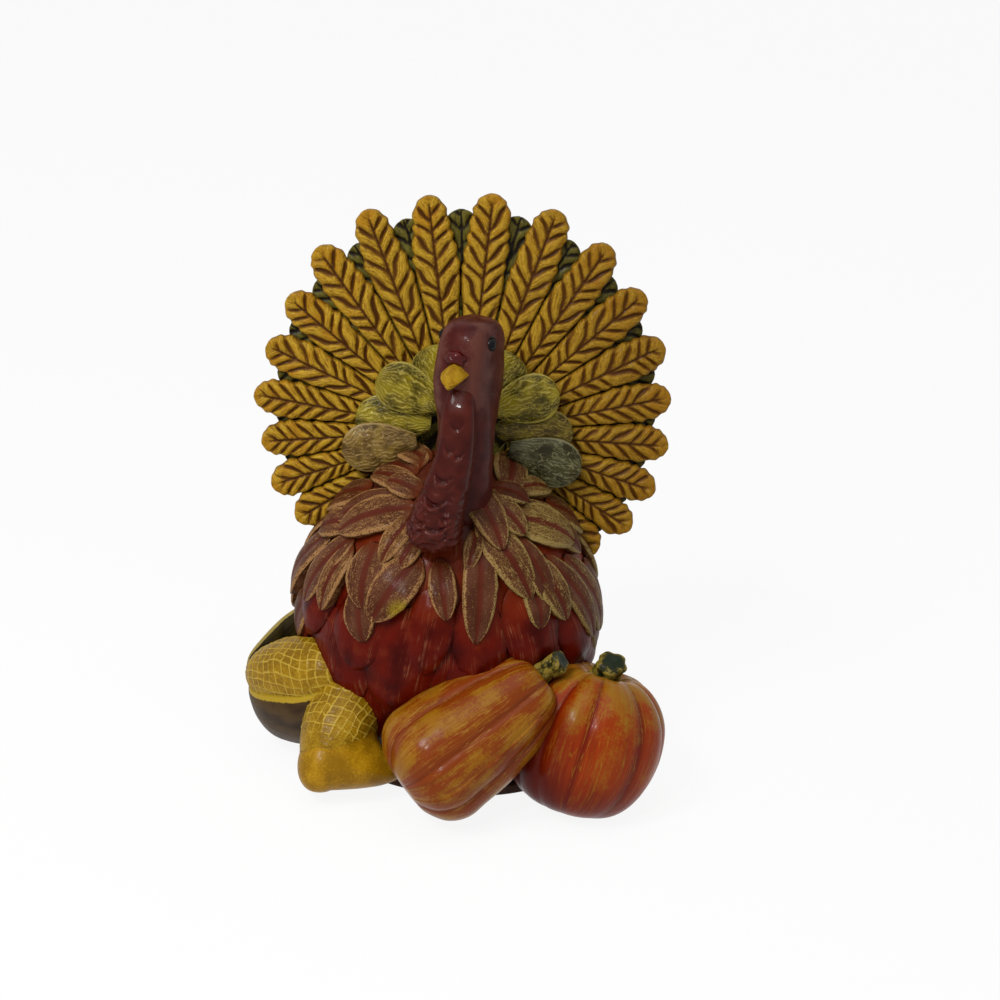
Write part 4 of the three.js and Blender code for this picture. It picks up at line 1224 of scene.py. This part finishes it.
def stem(foot, way, bend, girth):
    frame_at = stand_on(foot, way)

    def place(x, t):
        radius, along = along_rows(STEM_ROWS, t)
        turn = math.pi * x
        corner = 0.5 + 0.5 * math.cos(5 * turn + 0.4 * along)
        rough = lump(Vector((turn * 3, along, 0)) * MM, 1.6)
        out = girth * max(0, radius) * (0.84 + 0.2 * corner + 0.12 * rough * rise(radius, 0.5, 2))
        sway = bend * (max(0, along) / 8) ** 2
        local = round_axis(out, turn, along * STEM_STRETCH) + Vector((sway, 0, 0))
        return at(*(frame_at @ local)), (turn * 3, along, 0), (corner, t, 0)

    return place


for node, skin in (
    ("squash_stem", stem(squash_top, Vector((30, -10, 26)), 0.4, 1.0)),
    ("pumpkin_stem", stem(pumpkin_top, Vector((2, -8, 20)), 1.0, 1.3)),
):
    cast(node, stem_paint, STEM_STEPS, [skin])

# The corn: two short thick ears laid against the bird's side, yellow, with a raised net between
# their kernels that fades out towards the smooth tip of the front one.
COB_RADIUS = 9.3
COB_LENGTH = 32.0
COB_ROWS = 24
COB_RINGS = 14
NET_HEIGHT = 0.36
COB_STEPS = 8
FRONT_COB = (Vector((-19, -19, 27)), Vector((-27.5, -41, 6.98)))
SIDE_COB = (Vector((-22, -27, 28.5)), Vector((-48, -9.5, 17.5)))


def cob_radius(t):
    root = 1 - (1 - t) ** 6
    tip = 1 - t**3.2
    return COB_RADIUS * root_of(root) * root_of(tip)


def net_line(step):
    """1 on a line of the net, falling off to 0 between two lines."""
    off = abs(step - round(step)) * COB_STEPS
    return max(0, 1 - off / 1.2)


def cob(ends, fade):
    frame_at = stand_on(ends[0], ends[1] - ends[0])

    def place(x, t):
        turn = math.pi * x
        lines = max(net_line((x + 1) / 2 * COB_ROWS), net_line(t * COB_RINGS))
        shown = 1 - rise(t, fade, fade + 0.36)
        wander = waver(math.cos(turn) * 2, math.sin(turn) * 2, t * 5)
        fine = waver(math.cos(turn) * 6, math.sin(turn) * 6, t * 14)
        lean = turn + 0.14 * wander + 0.05 * fine + 0.5 * t
        along = t + (0.03 * wander + 0.014 * fine) * math.sin(math.pi * t)
        radius = cob_radius(along) if 0 < t < 1 else 0
        kernel = abs(math.sin(math.pi * (x + 1) / 2 * COB_ROWS) * math.sin(math.pi * t * COB_RINGS))
        lines *= 0.75 + 0.5 * fine
        swell = (NET_HEIGHT * lines + 0.12 * kernel) * shown
        swell += 0.2 * wander * (1 - 0.8 * rise(t, 0.6, 0.8))
        out = max(0, radius + swell * min(1, radius / 3))
        point = laid(frame_at, round_axis(out, lean, along * COB_LENGTH))
        return point, (turn * 8, t * 32, 0), (lines * shown, t, kernel)

    return place


def ear_paint(name, deep, corn, worn):
    """Corn yellow, worn lighter in patches and along the net."""
    paint, tone = new_paint(name, 0.1)
    lines, _, _ = tone.read("marks").split()
    speck = tone.grain(0.5)
    patch = tone.grain(5)
    yellow = patch.step(0.35, 0.7).over(deep, corn)
    yellow = (speck + patch * 0.6).step(0.75, 1.05).over(yellow, worn)
    yellow = (lines + speck * 0.4).step(0.45, 0.85).over(yellow, "b09232")
    return brush_on(paint, yellow, 0.26 + speck * 0.2, speck, 0.1)


corn_paint = ear_paint("corn_yellow", "785808", "926e0e", "9e7c18")
cob_steps = (COB_ROWS * COB_STEPS, COB_RINGS * COB_STEPS)
for node, skin in (("corn_front_cob", cob(FRONT_COB, 0.58)), ("corn_side_cob", cob(SIDE_COB, 0.9))):
    cast(node, corn_paint, cob_steps, [skin])

# The husks: leaves pressed round the ears. The front one is a smooth yellow sleeve over the ear's
# tip with a skirt that spreads to the squash, and the side one a thick dark shell under the ear,
# ribbed along its length, with a thin yellow rim.
HUSK_WALL = 1.2
HUSK_STEPS = (72, 60)
SLEEVE_TIP = 6.2


def husk(ends, way, shift, reach, start):
    """A shell lying on one side of an ear from a share of its length on: its outside pushed off by
    shift, its edges closing down on the ear, reach degrees round from its middle either way. One
    that starts on the ear is a sleeve round its tip, with a skirt that starts higher up."""
    frame_at = stand_on(ends[0], ends[1] - ends[0])
    down = frame_at.to_3x3().inverted() @ way
    middle = math.atan2(down.y, down.x)
    push = down.normalized() * shift
    sleeve = start > 0

    def place(x, t):
        across, front = two_faced(x)
        edge = abs(across)
        flare = math.cos(math.pi / 2 * min(1, edge * reach / (115 if sleeve else 100))) ** 2
        torn = 0.025 * (1 - flare) * math.sin(4 * math.pi * across)
        begin = start - (0.42 * flare + torn) * sleeve
        along = begin + ((1.08 if sleeve else 1.02) - begin) * t
        radius = cob_radius(min(0.995, max(0.02, along)))
        turn = middle + math.radians(reach) * across
        if sleeve:
            tip = root_of(1 - (max(0, along - 0.8) / 0.281) ** 2)
            radius = max(radius, SLEEVE_TIP * tip)
            opened = rise(t, 0, 0.95)
            wall = HUSK_WALL * flare
        else:
            turn -= math.radians(reach) * across * 0.12 * rise(t, 0.7, 1)
            opened = rise(t, 0, 0.06)
            wall = HUSK_WALL * (1 - edge**12)
        radius *= root_of(1 - t**30)
        opened *= root_of(1 - t**10)
        way_out = Vector((math.cos(turn), math.sin(turn), 0))
        fibre = abs(math.sin(across * 9 + 0.6 * math.sin(6 * t)))
        off = way_out * (radius + 0.1)
        if front and edge < 0.999:
            skin = 0.05 * (1 - edge**12) + (wall + 0.2 * fibre * flare) * opened
            off += way_out * skin + push * flare * opened
        point = laid(frame_at, off + Vector((0, 0, along * COB_LENGTH)))
        return point, (across * 12, t * 34, 9), (0 if sleeve else fibre, t, edge)

    return place


def husk_paint(name, dark, leaf, rim_tint, rim_from):
    """Dark brown streaked along the leaf, with a paler rim."""
    paint, tone = new_paint(name, 0.08)
    fibre, _, edge = tone.read("marks").split()
    streak = tone.read("lay").cloud(0.8, (1, 0.12, 1), 4)
    speck = tone.grain(0.6)
    patch = tone.grain(5)
    shade = (streak * 0.7 + patch * 0.5 + fibre * 0.15).step(0.5, 0.85)
    leafy = shade.over(dark, leaf)
    rim = (edge + speck * 0.03 + streak * 0.02).step(rim_from + 0.02, rim_from + 0.035)
    leafy = rim.over(leafy, rim_tint)
    return brush_on(paint, leafy, 0.36 + speck * 0.2, streak + speck * 0.5, 0.2)


yellow_husk = ear_paint("husk_yellow", "866008", "a0740c", "aa8216")
# The side husk's dark brown is partly the husk's own colour and partly painted shade under the ear.
dark_husk = husk_paint("husk_dark", "2a1a08", "4a361a", "a88a24", 0.975)
front_husk = husk(FRONT_COB, Vector((14.4, 5.6, 1.0)), 15.5, 179.9, 0.84)
side_husk = husk(SIDE_COB, Vector((0, 0.1, -1)), 9.0, 74, -0.036)
cast("corn_front_husk", yellow_husk, HUSK_STEPS, [front_husk])
cast("corn_side_husk", dark_husk, HUSK_STEPS, [side_husk])

# The third husk: a flat dark leaf that stands up behind the side ear and leans on the bird, with
# a pale fringe brushed along its outer edge.
BACK_HUSK_LEAN = Vector((0.42, -0.1, -0.9))
BACK_HUSK_STEPS = (60, 60)
# Each place along its upper edge: across, in depth and in height, and how far down the leaf goes
BACK_HUSK_EDGE = (
    (-48.4, -9.0, 17.5, 1.0),
    (-48.0, -7.5, 21.5, 8.0),
    (-45.0, -6.5, 26.2, 14.0),
    (-40.2, -7.0, 32.4, 13.0),
    (-35.0, -9.0, 37.4, 5.0),
)
back_husk = husk_paint("husk_back", "181204", "32280c", "968448", 0.95)


def back_husk_skin(x, t):
    across, front = two_faced(x)
    edge_x, edge_y, edge_z, deep = along_rows(BACK_HUSK_EDGE, t)
    thick = 0.9 * root_of(1 - across**6) * (-1 if front else 1)
    inward = BACK_HUSK_LEAN * max(0.5, deep) * (across + 1) / 2
    point = Vector((edge_x, edge_y + thick, edge_z)) + inward
    fibre = abs(math.sin(14 * t + across))
    point = at(point.x, point.y - 0.25 * fibre * front, max(0.4, point.z))
    return point, (across * 7, t * 30, 33), (fibre, t, 1 - rise(across, -1, -0.6) * 0.3)


cast("corn_back_husk", back_husk, BACK_HUSK_STEPS, [back_husk_skin])
